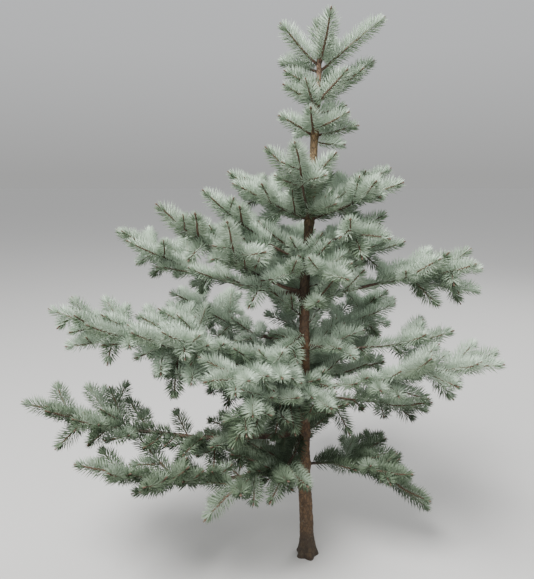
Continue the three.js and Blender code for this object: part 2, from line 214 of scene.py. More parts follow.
# %% Driving sizes of the tree, in millimetres
MM = 0.001
TRUNK_TIP = 1316
TRUNK_LEAN = [(0, 0), (330, -13), (720, -16), (1030, 0), (1220, 9), (TRUNK_TIP, 4)]
TRUNK_RADIUS = [(0, 22), (60, 18.5), (330, 15.5), (700, 12.2), (1050, 8.9), (1200, 5.2), (TRUNK_TIP, 1.6)]
WHORLS = [
    (1226, 1, {
        "top_front": (285, 73, 100, 0, 5),
        "top_right": (352, 135, 104, 0, -7),
        "top_left": (192, 88, 80, 0, 4),
        "top_back_left": (138, 112, 40, 0, -9),
        "top_back_right": (66, 112, 70, 0, 9),
    }),
    (1150, 2, {
        "second_left": (192, 78, 40),
        "second_front": (308, 88, 58),
        "second_right": (18, 134, 98),
        "second_back": (112, 122, 66),
    }),
    (1082, 2, {
        "third_left": (198, 86, 38),
        "third_front": (258, 62, 52),
        "third_right": (350, 96, 18),
        "third_back": (88, 138, 44),
    }),
    (885, 3, {
        "fourth_front": (256, 178, 170),
        "fourth_right": (335, 212, 92),
        "fourth_left": (196, 182, 88),
        "fourth_back_left": (138, 236, 100),
        "fourth_back_right": (48, 246, 108),
    }),
    (790, 4, {
        "fifth_left": (208, 256, 170, 120),
        "fifth_front": (292, 196, 6, 0, -14),
        "fifth_right": (322, 212, 54, 0, 16, 25),
        "fifth_back_left": (118, 318, 96),
        "fifth_back_right": (38, 285, 45),
    }),
    (702, 5, {
        "sixth_left": (210, 360, 220, 130, 12),
        "sixth_back_left": (160, 524, 138, 200, 8),
        "sixth_right": (355, 410, 78, 170, 0, 3),
        "sixth_back": (84, 420, 70),
    }),
    (584, 6, {
        "seventh_left": (190, 588, 140, 170, -26),
        "seventh_right": (346, 345, 58, 150),
        "seventh_front_left": (229, 330, 0),
        "seventh_back_left": (136, 500, 70, 200),
        "seventh_back_right": (56, 460, 56, 180),
    }),
    (468, 6, {
        "eighth_front_left": (238, 268, 90),
        "eighth_front": (286, 176, 22),
        "eighth_right": (335, 450, 132, 200, 0, 3),
        "eighth_back_left": (150, 520, 60),
        "eighth_back_right": (70, 500, 50),
    }),
    (352, 7, {
        "ninth_left": (190, 664, 132, 335),
        "ninth_right": (8, 330, -64, 130, 100, 6),
        "ninth_front": (246, 215, -75),
        "ninth_back": (90, 530, 30, 220),
    }),
    (262, 7, {
        "tenth_left": (204, 552, 124, 230),
        "tenth_front_left": (224, 322, -12, 0, 0, 45),
        "tenth_right": (4, 340, -150, 0, 0, 50),
        "tenth_back": (124, 440, -20),
    }),
]
UP = np.array([0.0, 0.0, 1.0])
print("limbs:", sum(len(limbs) for _, _, limbs in WHORLS))

# %% [markdown]
# A limb starts on the trunk's leaning middle line, so the lean comes before the limbs. Both
# tables are read with one function, straight for the taper and eased for the lean.

# %% Lean and taper of the trunk
WHORL_SWELL = 0.14
WHORL_SWELL_HEIGHT = 16


def table_value(table, z, eased):
    heights, values = zip(*table)
    i = max(1, int(np.searchsorted(heights, z)))
    i = min(i, len(heights) - 1)
    share = min(max((z - heights[i - 1]) / (heights[i] - heights[i - 1]), 0), 1)
    share = share * share * (3 - 2 * share) if eased else share
    return values[i - 1] + (values[i] - values[i - 1]) * share


def trunk_centre(z):
    return np.array([table_value(TRUNK_LEAN, z, True), 0.0, z])


def trunk_radius(z):
    swell = sum(math.exp(-(((z - height) / WHORL_SWELL_HEIGHT) ** 2)) for height, _, _ in WHORLS)
    return table_value(TRUNK_RADIUS, z, False) * (1 + WHORL_SWELL * swell)


quarter_radius = table_value(TRUNK_RADIUS, TRUNK_TIP / 4, False)
print("trunk is", round(2 * quarter_radius, 1), "mm thick at a quarter of its height")

# %% [markdown]
# Lines are what a tree is made of before it has any thickness. A long limb hangs a little below
# its chord, a few arch above it, and a side twig bends up to its tip. Each line is kept as a
# function of the share of its length, so that a twig can start anywhere on another.

# %% Lines of limbs and twigs
LIMB_SAG = 0.07
SAG_FROM = 250
UPTURN = 0.1
AIM_STEP = 0.01
NEARLY_UPRIGHT = 0.2


def unit(v):
    return v / max(np.linalg.norm(v), 1e-9)


def limb_line(height, turn, reach, rise, arch):
    """A limb's middle line, bowed up by its arch or down by its sag."""
    out = np.array([math.cos(math.radians(turn)), math.sin(math.radians(turn)), 0.0])
    root = trunk_centre(height)
    sag = LIMB_SAG * reach if reach > SAG_FROM else 0
    bow = arch if arch > 0 else -sag

    def line(share):
        return root + out * reach * share + UP * (rise * share + 4 * bow * share * (1 - share))

    return line


def twig_line(root, aim, length, upturn=UPTURN):
    def line(share):
        return root + aim * length * share + UP * upturn * length * share * share

    return line


def aim_at(line, share):
    return unit(line(min(1, share + AIM_STEP)) - line(max(0, share - AIM_STEP)))


def across(direction):
    """The directions beside and over a line."""
    side = np.cross(direction, UP)
    if np.linalg.norm(side) < NEARLY_UPRIGHT:
        side = np.array([1.0, 0.0, 0.0])
    side = unit(side)
    return side, unit(np.cross(side, direction))


def turned(axis, hand, angle, lift):
    """An axis turned to its left or right hand, then lifted, both in degrees."""
    side, over = across(axis)
    aim = axis * math.cos(math.radians(angle)) + side * hand * math.sin(math.radians(angle))
    return unit(aim + over * math.sin(math.radians(lift)))


# %% [markdown]
# The random numbers of the construction come from a small generator, which is easy to write again
# and gives the same numbers in any language. With the same seeds the same twigs appear. What it
# varies is a pair of side twigs: their angle, their lift and their length.

# %% Seeded numbers and pairs of twigs
PAIR_STEP = 7
SIDE_ANGLE = 50
SIDE_ANGLE_SPREAD = 12
SIDE_LIFT = 12
SIDE_LIFT_SPREAD = 18
SIZE_SPREAD = 0.28
FIRST_SEED = 1000
SEED_STEP = 7919
STREAM_FACTOR = 1664525
STREAM_ADDED = 1013904223
STREAM_END = 2**32


def stream(seed):
    """A generator of numbers from 0 to 1, the same ones for the same seed."""
    state = seed % STREAM_END

    def draw():
        nonlocal state
        state = (state * STREAM_FACTOR + STREAM_ADDED) % STREAM_END
        return state / STREAM_END

    return draw


def varied(draw, middle, spread):
    return middle + spread * (draw() - 0.5)


def grow_pair(line, length, share, draw, size, thick, lift_spread):
    direction = aim_at(line, share)
    pair = []
    for hand in (-1, 1):
        root = line(share + (PAIR_STEP / length if hand > 0 else 0))
        angle = varied(draw, SIDE_ANGLE, SIDE_ANGLE_SPREAD)
        lift = varied(draw, SIDE_LIFT, lift_spread)
        twig_length = size * varied(draw, 1, SIZE_SPREAD)
        draw()  # the construction turns each twig's needles by one more number
        aim = turned(direction, hand, angle, lift)
        pair.append({"line": twig_line(root, aim, twig_length), "length": twig_length, "thick": thick})
    return pair


first_stream = stream(FIRST_SEED)
print("first numbers:", [round(first_stream(), 3) for _ in range(3)])

# %% [markdown]
# The growth rule, as in the construction: an axis sends out one pair of side twigs for each year
# of its growth, longer the older they are, and the long ones fork once more. On a limb with a
# bare bough the twigs begin where the bough ends. Each twig keeps its order: the limb's own axis,
# its side twigs, their forks, and what is added to them further below.

# %% Twigs of one limb
SHORTEST_YEAR = 100
SIDE_SHARE = 0.86
SIDE_GAIN = 0.75
SIDE_LONGEST = 2.15
FORK_FROM = 1.6
FORK_SHARE = 0.72
FORK_CLEAR = 24
STEM_CLEAR = 26
TWIG_RADIUS = 2.9
FORK_RADIUS = 2.6
STEM_GAIN = 0.35
BOUGH_TAPER = 0.62
AXIS, SIDE, FORK, FINE, LAST_FORK, SHOOT, ON_BOUGH = range(7)


def grow_twigs(limb):
    line, length, draw = limb["line"], limb["length"], limb["draw"]
    years = min(max(length // SHORTEST_YEAR, 1), limb["years"])
    year = length / years
    on_trunk = limb["bare"] == 0
    clear = trunk_radius(limb["height"]) + STEM_CLEAR if on_trunk else 0
    thick = TWIG_RADIUS + STEM_GAIN * years if on_trunk else limb["radius"] * BOUGH_TAPER
    start = limb["bare"] / length
    limb["year"] = year
    twigs = [{
        "line": lambda share: line(start + (1 - start) * share),
        "length": length * (1 - start),
        "thick": thick,
        "order": AXIS,
        "clear": clear,
    }]
    for k in range(1, int(years)):
        share = 1 - k / years
        if share * length < max(clear, limb["bare"] + FORK_CLEAR):
            break
        gain = min(SIDE_LONGEST, SIDE_SHARE * k**SIDE_GAIN)
        for twig in grow_pair(line, length, share, draw, year * gain, TWIG_RADIUS, SIDE_LIFT_SPREAD):
            twigs.append({**twig, "order": SIDE, "clear": FORK_CLEAR})
            if gain < FORK_FROM:
                continue
            fork_share = 1 - SIDE_SHARE * year / twig["length"]
            size = FORK_SHARE * year
            forks = grow_pair(twig["line"], twig["length"], fork_share, draw, size, FORK_RADIUS, 0)
            twigs += [{**fork, "order": FORK, "clear": FORK_CLEAR / 2} for fork in forks]
    return twigs


print("a side twig grows to", SIDE_LONGEST, "years' length of its axis at most")

# %% [markdown]
# Now the rule meets the table. Every limb keeps its own line, its age and its own stream of
# numbers, and all that is grown later hangs on this list.

# %% All limbs with their main twigs
BOUGH_THICKNESS = 0.0125
BOUGH_ROOT_LEAST = 4.2

LIMBS = []
for whorl_height, whorl_years, group in WHORLS:
    for name, (turn, reach, rise, *rest) in group.items():
        bare, above, arch = (*rest, 0, 0, 0)[:3]
        line = limb_line(whorl_height + above, turn, reach, rise, arch)
        length = float(np.linalg.norm(line(1) - line(0)))
        LIMBS.append({
            "name": name,
            "whorl": whorl_height,
            "height": whorl_height + above,
            "turn": turn,
            "years": whorl_years,
            "bare": bare,
            "line": line,
            "length": length,
            "radius": max(BOUGH_ROOT_LEAST, BOUGH_THICKNESS * length),
            "draw": stream(FIRST_SEED + SEED_STEP * len(LIMBS)),
        })
for limb in LIMBS:
    limb["twigs"] = grow_twigs(limb)
print("main twigs:", sum(len(limb["twigs"]) for limb in LIMBS))

# %% [markdown]
# Some shoots of this tree stand where the rule puts none: short ones under the upper whorls, those
# that fill out the right side, and those that hang in front and on the left. They are given one by
# one, each by what carries it, the place there, its heading, lift and length. The place is a
# height on the trunk, and a share of the length on a limb.

# %% Shoots given one by one
GIVEN_SHOOTS = [
    ("trunk", 1185, 185, 20, 80),
    ("trunk", 1130, 345, 5, 65),
    ("trunk", 1070, 345, -15, 70),
    ("trunk", 800, 300, 40, 80),
    ("trunk", 790, 240, 35, 95),
    ("trunk", 780, 300, 30, 110),
    ("trunk", 775, 225, -10, 150),
    ("fifth_right", 0.12, 355, 35, 90),
    ("sixth_right", 0.68, 5, 25, 120),
    ("sixth_right", 0.60, 0, -15, 175),
    ("sixth_right", 0.62, 315, -40, 90),
    ("sixth_right", 0.80, 295, -45, 60),
    ("trunk", 615, 230, -20, 150),
    ("trunk", 500, 310, -5, 100),
    ("trunk", 495, 255, 5, 135),
    ("trunk", 480, 275, 0, 115),
    ("trunk", 440, 260, 5, 110),
    ("seventh_left", 0.74, 210, -10, 125),
    ("seventh_left", 0.58, 275, -25, 105),
    ("seventh_left", 0.52, 265, -60, 125),
    ("seventh_left", 0.46, 275, -20, 135),
    ("seventh_left", 0.36, 280, -5, 135),
    ("eighth_right", 0.75, 5, 15, 115),
    ("eighth_right", 0.35, 325, -10, 150),
    ("eighth_right", 0.32, 300, 15, 80),
    ("eighth_right", 0.20, 290, 15, 90),
    ("eighth_front_left", 0.40, 255, -50, 115),
    ("eighth_front_left", 0.75, 255, -50, 95),
    ("eighth_front_left", 0.85, 235, -55, 130),
    ("ninth_left", 0.42, 245, -40, 85),
    ("ninth_left", 0.34, 270, -45, 95),
    ("ninth_left", 0.26, 280, -40, 80),
    ("trunk", 355, 230, -35, 135),
]
TRUNK_CLEAR = 6
TWIG_CLEAR = 8


def aim_by(heading, lift):
    turn, rise = math.radians(heading), math.radians(lift)
    return np.array([math.cos(turn) * math.cos(rise), math.sin(turn) * math.cos(rise), math.sin(rise)])


def limb_near(z):
    return min(LIMBS, key=lambda limb: abs(limb["height"] - z))


for carrier, place, heading, lift, length in GIVEN_SHOOTS:
    on_trunk = carrier == "trunk"
    limb = limb_near(place) if on_trunk else next(one for one in LIMBS if one["name"] == carrier)
    root = trunk_centre(place) if on_trunk else limb["line"](place)
    limb["twigs"].append({
        "line": twig_line(root, aim_by(heading, lift), length),
        "length": length,
        "thick": FORK_RADIUS,
        "order": FORK,
        "clear": trunk_radius(place) + TRUNK_CLEAR if on_trunk else TWIG_CLEAR,
    })
print("shoots given:", len(GIVEN_SHOOTS))

# %% [markdown]
# A crowded bud doesn't open on a real tree. So before a fine twig is grown, its outer half is
# measured against everything near it. Lines are cut into a few straight pieces for that, and the
# least distance to all of them is worked out at once, as arrays.

# %% Room for a twig
TRUNK_POINTS = 30
LIMB_POINTS = 6
TWIG_POINTS = 4
FINE_POINTS = 3


def line_points(line, count):
    return np.array([line(i / (count - 1)) for i in range(count)])


def distance_to(starts, ends, a, b):
    """Least distance from a few points along a to b to each of the pieces from starts to ends."""
    best = math.inf
    along = ends - starts
    size = np.maximum((along**2).sum(1), 1e-9)
    for share in (0.0, 0.5, 1.0):
        p = a + (b - a) * share
        t = np.clip(((p - starts) * along).sum(1) / size, 0, 1)
        best = min(best, float(np.sqrt(((starts + along * t[:, None] - p) ** 2).sum(1).min())))
    return best


def pieces_of(line, count=TWIG_POINTS):
    points = line_points(line, count)
    return points[:-1], points[1:]


def free_of(line, gap, taken):
    """Whether the outer half of a line keeps a gap from all that is taken."""
    starts, ends = (np.concatenate(side) for side in zip(*taken))
    half, beyond, tip = line(0.5), line(0.75), line(1.0)
    return min(distance_to(starts, ends, a, b) for a, b in ((half, beyond), (beyond, tip))) > gap


taken_space = [pieces_of(lambda share: trunk_centre(share * TRUNK_TIP), TRUNK_POINTS)]
for limb in LIMBS:
    taken_space.append(pieces_of(limb["line"], LIMB_POINTS))
    taken_space += [pieces_of(twig["line"]) for twig in limb["twigs"]]
print("lines to keep clear of:", len(taken_space))

# %% [markdown]
# The construction stops at the main twigs. A real branch goes on: between two years' nodes short
# twigs stand to the left and right in turn, some lifted and some hanging, and they are longer the
# further they are from the tip. They are grown here in the same way, each from a line that is
# there already. One that has no room is skipped, and so is one that would touch the ground. The
# topmost whorl is one summer old and has none yet.

# %% Fine twigs
FINE_STEP = 27
FINE_STEP_LEAST = 0.8
FINE_STEP_SPREAD = 0.5
FINE_FIRST = 32
FINE_SHARE = 0.62
FINE_LENGTH = (30, 92)
FINE_SIZE_LEAST = 0.8
FINE_SIZE_SPREAD = 0.4
FINE_ANGLE = 52
FINE_ANGLE_SPREAD = 20
FINE_LIFT = 6
FINE_LIFT_SPREAD = 76
FINE_HANGING = 0.16
HANGING_LIFT = -60
HANGING_FROM = 300
HANGING_TO = 900
FINE_RADIUS = 1.9
FINE_GAP = 16
FINE_SEED = 77
GROUND_CLEAR = 24


def grow_fine(limb, parent, draw, taken, step=FINE_STEP, extra=0):
    """Twigs to the left and right of a parent. The extra is what its limb grows on past its end."""
    made = []
    hand = 1 if draw() < 0.5 else -1
    distance = (0 if extra else FINE_FIRST) + step * 0.5 * draw()
    while distance < parent["length"] - parent["clear"]:
        share = 1 - distance / parent["length"]
        hand = -hand
        root, direction = parent["line"](share), aim_at(parent["line"], share)
        hanging = draw() < FINE_HANGING and HANGING_FROM < limb["height"] < HANGING_TO
        angle = varied(draw, FINE_ANGLE, FINE_ANGLE_SPREAD)
        lift = HANGING_LIFT if hanging else varied(draw, FINE_LIFT, FINE_LIFT_SPREAD)
        size = min(max(FINE_SHARE * (distance + extra), FINE_LENGTH[0]), FINE_LENGTH[1])
        size *= FINE_SIZE_LEAST + FINE_SIZE_SPREAD * draw()
        aim = turned(direction, hand, angle, lift)
        line = twig_line(root, aim, size, -UPTURN if hanging else UPTURN)
        distance += step * (FINE_STEP_LEAST + FINE_STEP_SPREAD * draw())
        if line(1)[2] < GROUND_CLEAR or not free_of(line, FINE_GAP, taken):
            continue
        twig = {"line": line, "length": size, "thick": FINE_RADIUS, "order": FINE}
        made.append({**twig, "clear": TWIG_CLEAR})
        taken.append(pieces_of(line, FINE_POINTS))
    return made


for i, limb in enumerate(LIMBS):
    limb["fine_draw"] = stream(FINE_SEED + SEED_STEP * i)
    for parent in list(limb["twigs"]) if limb["years"] > 1 else []:
        limb["twigs"] += grow_fine(limb, parent, limb["fine_draw"], taken_space)
print("metres of twig:", round(sum(t["length"] for limb in LIMBS for t in limb["twigs"]) * MM, 1))

# %% [markdown]
# Between two whorls the trunk carries short shoots of its own, which fill the inside of the crown.
# They climb round it by the same angle as leaves do. The stretch below the three upper whorls is
# free of them, as is the front, where the bare trunk shows between the limbs.

# %% Shoots of the trunk
SHOOT_FROM = 288
SHOOT_STEP = 21
SHOOT_STEP_LEAST = 0.7
SHOOT_STEP_SPREAD = 0.6
SHOOT_FREE = (975, 1095)
SHOOT_TURN = 137.5
SHOOT_LENGTH = [(280, 150), (700, 135), (960, 90), (1160, 62), (1200, 50)]
SHOOT_SIZE_LEAST = 0.75
SHOOT_SIZE_SPREAD = 0.5
SHOOT_LIFT = 28
SHOOT_LIFT_SPREAD = 40
SHOOT_GAP = 13
FRONT = (240, 312)


def grow_shoots(draw):
    z, turn = SHOOT_FROM, 0
    while z < SHOOT_LENGTH[-1][0]:
        z += SHOOT_STEP * (SHOOT_STEP_LEAST + SHOOT_STEP_SPREAD * draw())
        turn = (turn + SHOOT_TURN) % 360
        size = table_value(SHOOT_LENGTH, z, False) * (SHOOT_SIZE_LEAST + SHOOT_SIZE_SPREAD * draw())
        lift = varied(draw, SHOOT_LIFT, SHOOT_LIFT_SPREAD)
        if SHOOT_FREE[0] < z < SHOOT_FREE[1] or FRONT[0] < turn < FRONT[1]:
            continue
        line = twig_line(trunk_centre(z), aim_by(turn, lift), size)
        if not free_of(line, SHOOT_GAP, taken_space):
            continue
        shoot = {"line": line, "length": size, "thick": FORK_RADIUS, "order": SHOOT}
        limb_near(z)["twigs"].append({**shoot, "clear": trunk_radius(z) + TRUNK_CLEAR})
        taken_space.append(pieces_of(line, FINE_POINTS))


grow_shoots(stream(FINE_SEED - 1))
print("twigs and shoots:", sum(len(limb["twigs"]) for limb in LIMBS))

# %% [markdown]
# The older boughs carry fine twigs too, in their outer half. Last of all, the fine twigs that are
# long enough fork once more.

# %% Twigs of the boughs, and the last forks
BOUGH_BARE = 0.42
BOUGH_STEP = 34
BOUGH_AHEAD = 70
FORKS_FROM = 58


def grow_on_bough(limb):
    """Twigs on the outer half of a bare bough: a needleless parent for the same rule."""
    low, high = BOUGH_BARE * limb["bare"] / limb["length"], limb["bare"] / limb["length"]
    whole = limb["line"]
    parent = {
        "line": lambda share: whole(low + (high - low) * share),
        "length": (high - low) * limb["length"],
        "clear": 0,
    }
    twigs = grow_fine(limb, parent, limb["fine_draw"], taken_space, BOUGH_STEP, BOUGH_AHEAD)
    limb["twigs"] += [{**twig, "order": ON_BOUGH} for twig in twigs]


for limb in LIMBS:
    if limb["bare"] > 0:
        grow_on_bough(limb)
for limb in LIMBS:
    for fine in [twig for twig in limb["twigs"] if twig["order"] >= FINE and twig["length"] > FORKS_FROM]:
        forks = grow_fine(limb, fine, limb["fine_draw"], taken_space)
        limb["twigs"] += [{**twig, "order": LAST_FORK} for twig in forks]
orders = [twig["order"] for limb in LIMBS for twig in limb["twigs"]]
print("twigs by order:", {order: orders.count(order) for order in sorted(set(orders))})
print("metres of twig:", round(sum(t["length"] for limb in LIMBS for t in limb["twigs"]) * MM, 1))

# %% [markdown]
# Real twigs aren't ruled lines. One gentle field of noise moves every point of the boughs and twigs
# by a few millimetres. Those that meet are moved alike, so nothing comes apart, and the trunk is
# thick enough to stay where it is. A noise of vectors takes its seed from the clock, so it's given
# a fixed one first, and the tree is the same each time.

# %% Kinks
KINK_SIZE = 4.0
KINK_WIDTH = 70.0
KINK_SEED = 5
POINT_STEP = 13
FEWEST_POINTS = 4

noise.seed_set(KINK_SEED)


def kinked(points):
    moved = [noise.noise_vector(Vector(p) / KINK_WIDTH) for p in points]
    return points + KINK_SIZE * np.array(moved)


def framed(points):
    """Directions along a line of points, and beside and over it, carried along without a twist."""
    along = np.gradient(points, axis=0)
    along /= np.linalg.norm(along, axis=1)[:, None]
    sides = np.empty_like(along)
    side = across(along[0])[0]
    for i, direction in enumerate(along):
        side = unit(side - direction * np.dot(side, direction))
        sides[i] = side
    return along, sides, np.cross(sides, along)


for limb in LIMBS:
    for twig in limb["twigs"]:
        count = max(FEWEST_POINTS, int(twig["length"] / POINT_STEP) + 1)
        twig["points"] = kinked(line_points(twig["line"], count))
        twig["frames"] = framed(twig["points"])
print("points:", sum(len(twig["points"]) for limb in LIMBS for twig in limb["twigs"]))

# %% [markdown]
# Meshes of this size are made from arrays of numbers. Pushing them in with foreach_set takes a
# moment, where adding faces one by one would take minutes. The helper turns arrays into a piece
# that rides on the tree's one body.

# %% A piece from arrays
def piece(name, points, faces, materials, indices=None, smooth=True):
    """A mesh of triangles, from points in millimetres."""
    mesh = bpy.data.meshes.new(name)
    mesh.vertices.add(len(points))
    mesh.vertices.foreach_set("co", (np.asarray(points) * MM).astype(np.float32).ravel())
    mesh.loops.add(faces.size)
    mesh.loops.foreach_set("vertex_index", faces.astype(np.int32).ravel())
    mesh.polygons.add(len(faces))
    mesh.polygons.foreach_set("loop_start", np.arange(0, faces.size, 3, dtype=np.int32))
    mesh.polygons.foreach_set("use_smooth", np.full(len(faces), smooth))
    for material in materials:
        mesh.materials.append(material)
    if indices is not None:
        mesh.polygons.foreach_set("material_index", indices.astype(np.int32))
    mesh.update(calc_edges=True)
    made = bpy.data.objects.new(name, mesh)
    bpy.context.scene.collection.objects.link(made)
    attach(made, "root")
    return made


print("pieces are made in metres, from millimetres:", MM)

# %% [markdown]
# Twigs and boughs are tubes along a line. One function makes them all, closed at both ends, with
# one radius for each ring or one for each point of a ring. The skin over the rings is a function
# of its own, because the trunk needs it too.

# %% Tubes, and meshes joined as one
def skin(count, sides):
    """Triangles of a closed skin over rings of points, whose two end points come last."""
    i, j = np.meshgrid(np.arange(count - 1), np.arange(sides), indexing="ij")
    a, b = i * sides + j, i * sides + (j + 1) % sides
    quads = np.stack([a, b, b + sides, a, b + sides, a + sides], axis=-1).reshape(-1, 3)
    k = np.arange(sides)
    first = np.stack([(k + 1) % sides, k, np.full(sides, count * sides)], axis=-1)
    base = (count - 1) * sides
    last = np.stack([base + k, base + (k + 1) % sides, np.full(sides, count * sides + 1)], axis=-1)
    return np.concatenate([quads, first, last])


def ring_numbers(count, sides):
    """For each triangle of a skin, the ring that it stands on."""
    between = np.repeat(np.arange(count - 1), 2 * sides)
    return np.concatenate([between, np.full(sides, 0), np.full(sides, count - 2)])


def tube(points, frames, radii, sides):
    """Points and triangles of a closed tube, with the ring that each triangle stands on."""
    along, beside, over = frames
    turn = 2 * np.pi * np.arange(sides) / sides
    radii = np.asarray(radii, float)
    radii = radii[:, None] if radii.ndim == 1 else radii
    rings = points[:, None] + radii[..., None] * (
        np.cos(turn)[None, :, None] * beside[:, None] - np.sin(turn)[None, :, None] * over[:, None]
    )
    tail = points[-1] + along[-1] * float(radii[-1].mean())
    vertices = np.concatenate([rings.reshape(-1, 3), [points[0], tail]])
    return vertices, skin(len(points), sides), ring_numbers(len(points), sides)


def joined(parts):
    """Several meshes, each (points, triangles, number for each triangle), as one."""
    starts = np.cumsum([0] + [len(points) for points, _, _ in parts[:-1]])
    return (
        np.concatenate([points for points, _, _ in parts]),
        np.concatenate([faces + start for (_, faces, _), start in zip(parts, starts)]),
        np.concatenate([numbers for _, _, numbers in parts]),
    )


print("rings of the first twig:", len(LIMBS[0]["twigs"][0]["points"]))

# %% [markdown]
# Every finish on the tree is dull and uneven. One node group gives that unevenness: a value that
# wanders between two limits over the surface. Each finish uses it for its roughness, with its own
# grain.

# %% Shared group for uneven surfaces
UNEVEN_DETAIL = 3.0


def new_group(name, inputs, outputs, kinds, values, links, settings=()):
    """A group of shader nodes, with named inputs and outputs that are all plain values."""
    group = bpy.data.node_groups.new(name, "ShaderNodeTree")
    for label, value in inputs.items():
        socket = group.interface.new_socket(name=label, in_out="INPUT", socket_type="NodeSocketFloat")
        socket.default_value = value
    for label in outputs:
        group.interface.new_socket(name=label, in_out="OUTPUT", socket_type="NodeSocketFloat")
    ends = {"given": "NodeGroupInput", "made": "NodeGroupOutput"}
    wire(group, {**ends, **kinds}, values, links, settings)
    return group


uneven = new_group(
    "Uneven surface",
    {"Grain": 200.0, "Low": 0.5, "High": 0.8},
    ["Value"],
    {"place": "ShaderNodeTexCoord", "wander": "ShaderNodeTexNoise", "limits": "ShaderNodeMapRange"},
    [("wander", "Detail", UNEVEN_DETAIL)],
    [
        ("place", "Object", "wander", "Vector"),
        ("given", "Grain", "wander", "Scale"),
        ("wander", "Fac", "limits", "Value"),
        ("given", "Low", "limits", "To Min"),
        ("given", "High", "limits", "To Max"),
        ("limits", "Result", "made", "Value"),
    ],
)


def dull_material(name, colour, grain, roughness):
    """A plain colour with a roughness that wanders between two values."""
    material, tree, shader = new_material(name)
    low, high = roughness
    wire(
        tree,
        {"rough": "ShaderNodeGroup"},
        [
            ("shader", "Base Color", (*colour, 1)),
            ("rough", "Grain", grain),
            ("rough", "Low", low),
            ("rough", "High", high),
        ],
        [("rough", "Value", "shader", "Roughness")],
        [("rough", "node_tree", uneven)],
        shader=shader,
    )
    return material


print("group sockets:", [item.name for item in uneven.interface.items_tree])

# %% [markdown]
# Wax makes the needles of a blue spruce silvery. It is thick on this summer's needles and wears off
# with the years, down to a plain dark green. A noise couldn't follow that, because it goes by the
# shoot and its age. So the tints are plain colours, six steps from frosted to dark, which serve both
# wear and painted shade, and one of olive for a shoot in poor health, and each spray gets its own
# further below.

# %% Needle tints
# The darker tints stand for worn needles and for painted shade alike.
NEEDLE_TINTS = {
    "Frosted needles": (0.55, 0.66, 0.53),
    "Silver needles": (0.43, 0.52, 0.41),
    "Pale needles": (0.315, 0.39, 0.292),
    "Grey green needles": (0.205, 0.268, 0.18),
    "Dull green needles": (0.12, 0.168, 0.099),
    "Dark inner needles": (0.058, 0.086, 0.046),
    "Olive needles": (0.20, 0.235, 0.115),
}
OLIVE = len(NEEDLE_TINTS) - 1
NEEDLE_GRAIN = 400
NEEDLE_ROUGHNESS = (0.45, 0.75)

tint_materials = [
    dull_material(name, colour, NEEDLE_GRAIN, NEEDLE_ROUGHNESS) for name, colour in NEEDLE_TINTS.items()
]
print("tints:", len(tint_materials))

# %% [markdown]
# The needles make the tree. They stand round the shoot in a spiral of 137.5 degrees, lean to its
# tip, and turn up from below it, so that its brown underside shows. Where a shoot hangs or climbs
# they stand all round it. Each year's needles are longest in the middle, and some older ones have
# fallen. All needles of a twig are worked out at once, as arrays: no particles, because only
# meshes are exported.

# %% Places of the needles on a twig
NEEDLE_LENGTH = 30.0
NEEDLES_PER_MM = [(500, 1.95), (950, 2.6)]
NEEDLE_LIVES = (1.0, 1.0, 0.9, 0.7, 0.35, 0.0)
GOLDEN_TURN = math.radians(137.5)
TURN_SPREAD = 0.08
COMB = 0.36
LEAN_BASE = 68.0
LEAN_IN_YEAR = 8
LEAN_TIP = 26.0
LEAN_SPREAD = 8.0
TIP_FAN = 16.0
FAN_SHORTER = 0.28
TUFT = 16
TUFT_DEPTH = 7
SIZES = (0.88, 1.08)
SIZE_AT_NODE = 0.84
SIZE_IN_YEAR = 0.16
YEAR_LIMITS = (0.05, 0.8)
FOOT_DEPTH = 0.6
# Painted shade: needles turned this far from the top of the shoot, in radians, take one or two darker
# tints.
UNDERSIDE_SHADE_FROM = (1.35, 1.85)


def at_distance(values, distances, step):
    places = distances / step
    i = np.clip(places.astype(int), 0, len(values) - 2)
    share = np.clip(places - i, 0, 1)[:, None]
    return values[i] * (1 - share) + values[i + 1] * share


def needles_on(points, frames, radii, length, year, random, clear, drawn):
    """Places and directions of a line's needles, of its last year and its older ones."""
    per_mm = table_value(NEEDLES_PER_MM, points[0][2], False)
    distance = np.arange(clear, drawn - 1, 1 / per_mm)
    distance = np.append(distance, random.uniform(drawn - TUFT_DEPTH, drawn, TUFT))
    from_tip = length - distance
    age = np.minimum((from_tip / year).astype(int), len(NEEDLE_LIVES) - 1)
    kept = random.random(len(distance)) < np.array(NEEDLE_LIVES)[age]
    number = np.arange(len(distance))[kept]
    distance, from_tip, age = distance[kept], from_tip[kept], age[kept]
    step = length / (len(points) - 1)
    spots = at_distance(points, distance, step)
    along, beside, over = (at_distance(f, distance, step) for f in frames)
    radius = at_distance(np.asarray(radii)[:, None], distance, step)
    level = 1 - np.abs(along[:, 2:3])
    turn = number * GOLDEN_TURN + random.normal(0, TURN_SPREAD, len(number))
    turn = (turn + np.pi) % (2 * np.pi) - np.pi
    fan = np.clip(1 - (drawn - distance) / TIP_FAN, 0, 1)
    turn = turn[:, None] * (1 - COMB * level * (1 - fan[:, None]))
    out = over * np.cos(turn) + beside * np.sin(turn)
    in_year = 1 - (from_tip % year) / year
    lean = LEAN_BASE - LEAN_IN_YEAR * in_year + (LEAN_TIP - LEAN_BASE) * fan
    lean = np.radians(lean + LEAN_SPREAD * (random.random(len(number)) - 0.5))[:, None]
    aim = along * np.cos(lean) + out * np.sin(lean)
    size = NEEDLE_LENGTH * random.uniform(*SIZES, len(number)) * (1 - FAN_SHORTER * fan)
    size *= SIZE_AT_NODE + SIZE_IN_YEAR * np.sin(np.pi * np.clip(in_year, *YEAR_LIMITS))
    return {
        "base": spots + out * radius * FOOT_DEPTH,
        "aim": aim,
        "over": over * level,
        "along": along,
        "size": size[:, None],
        "age": age,
        # Steps of painted shade for the needles under the shoot.
        "below": np.searchsorted(UNDERSIDE_SHADE_FROM, np.abs(turn[:, 0])),
    }


print("needles on a metre of low and of high shoots:", [round(1000 * n) for _, n in NEEDLES_PER_MM])

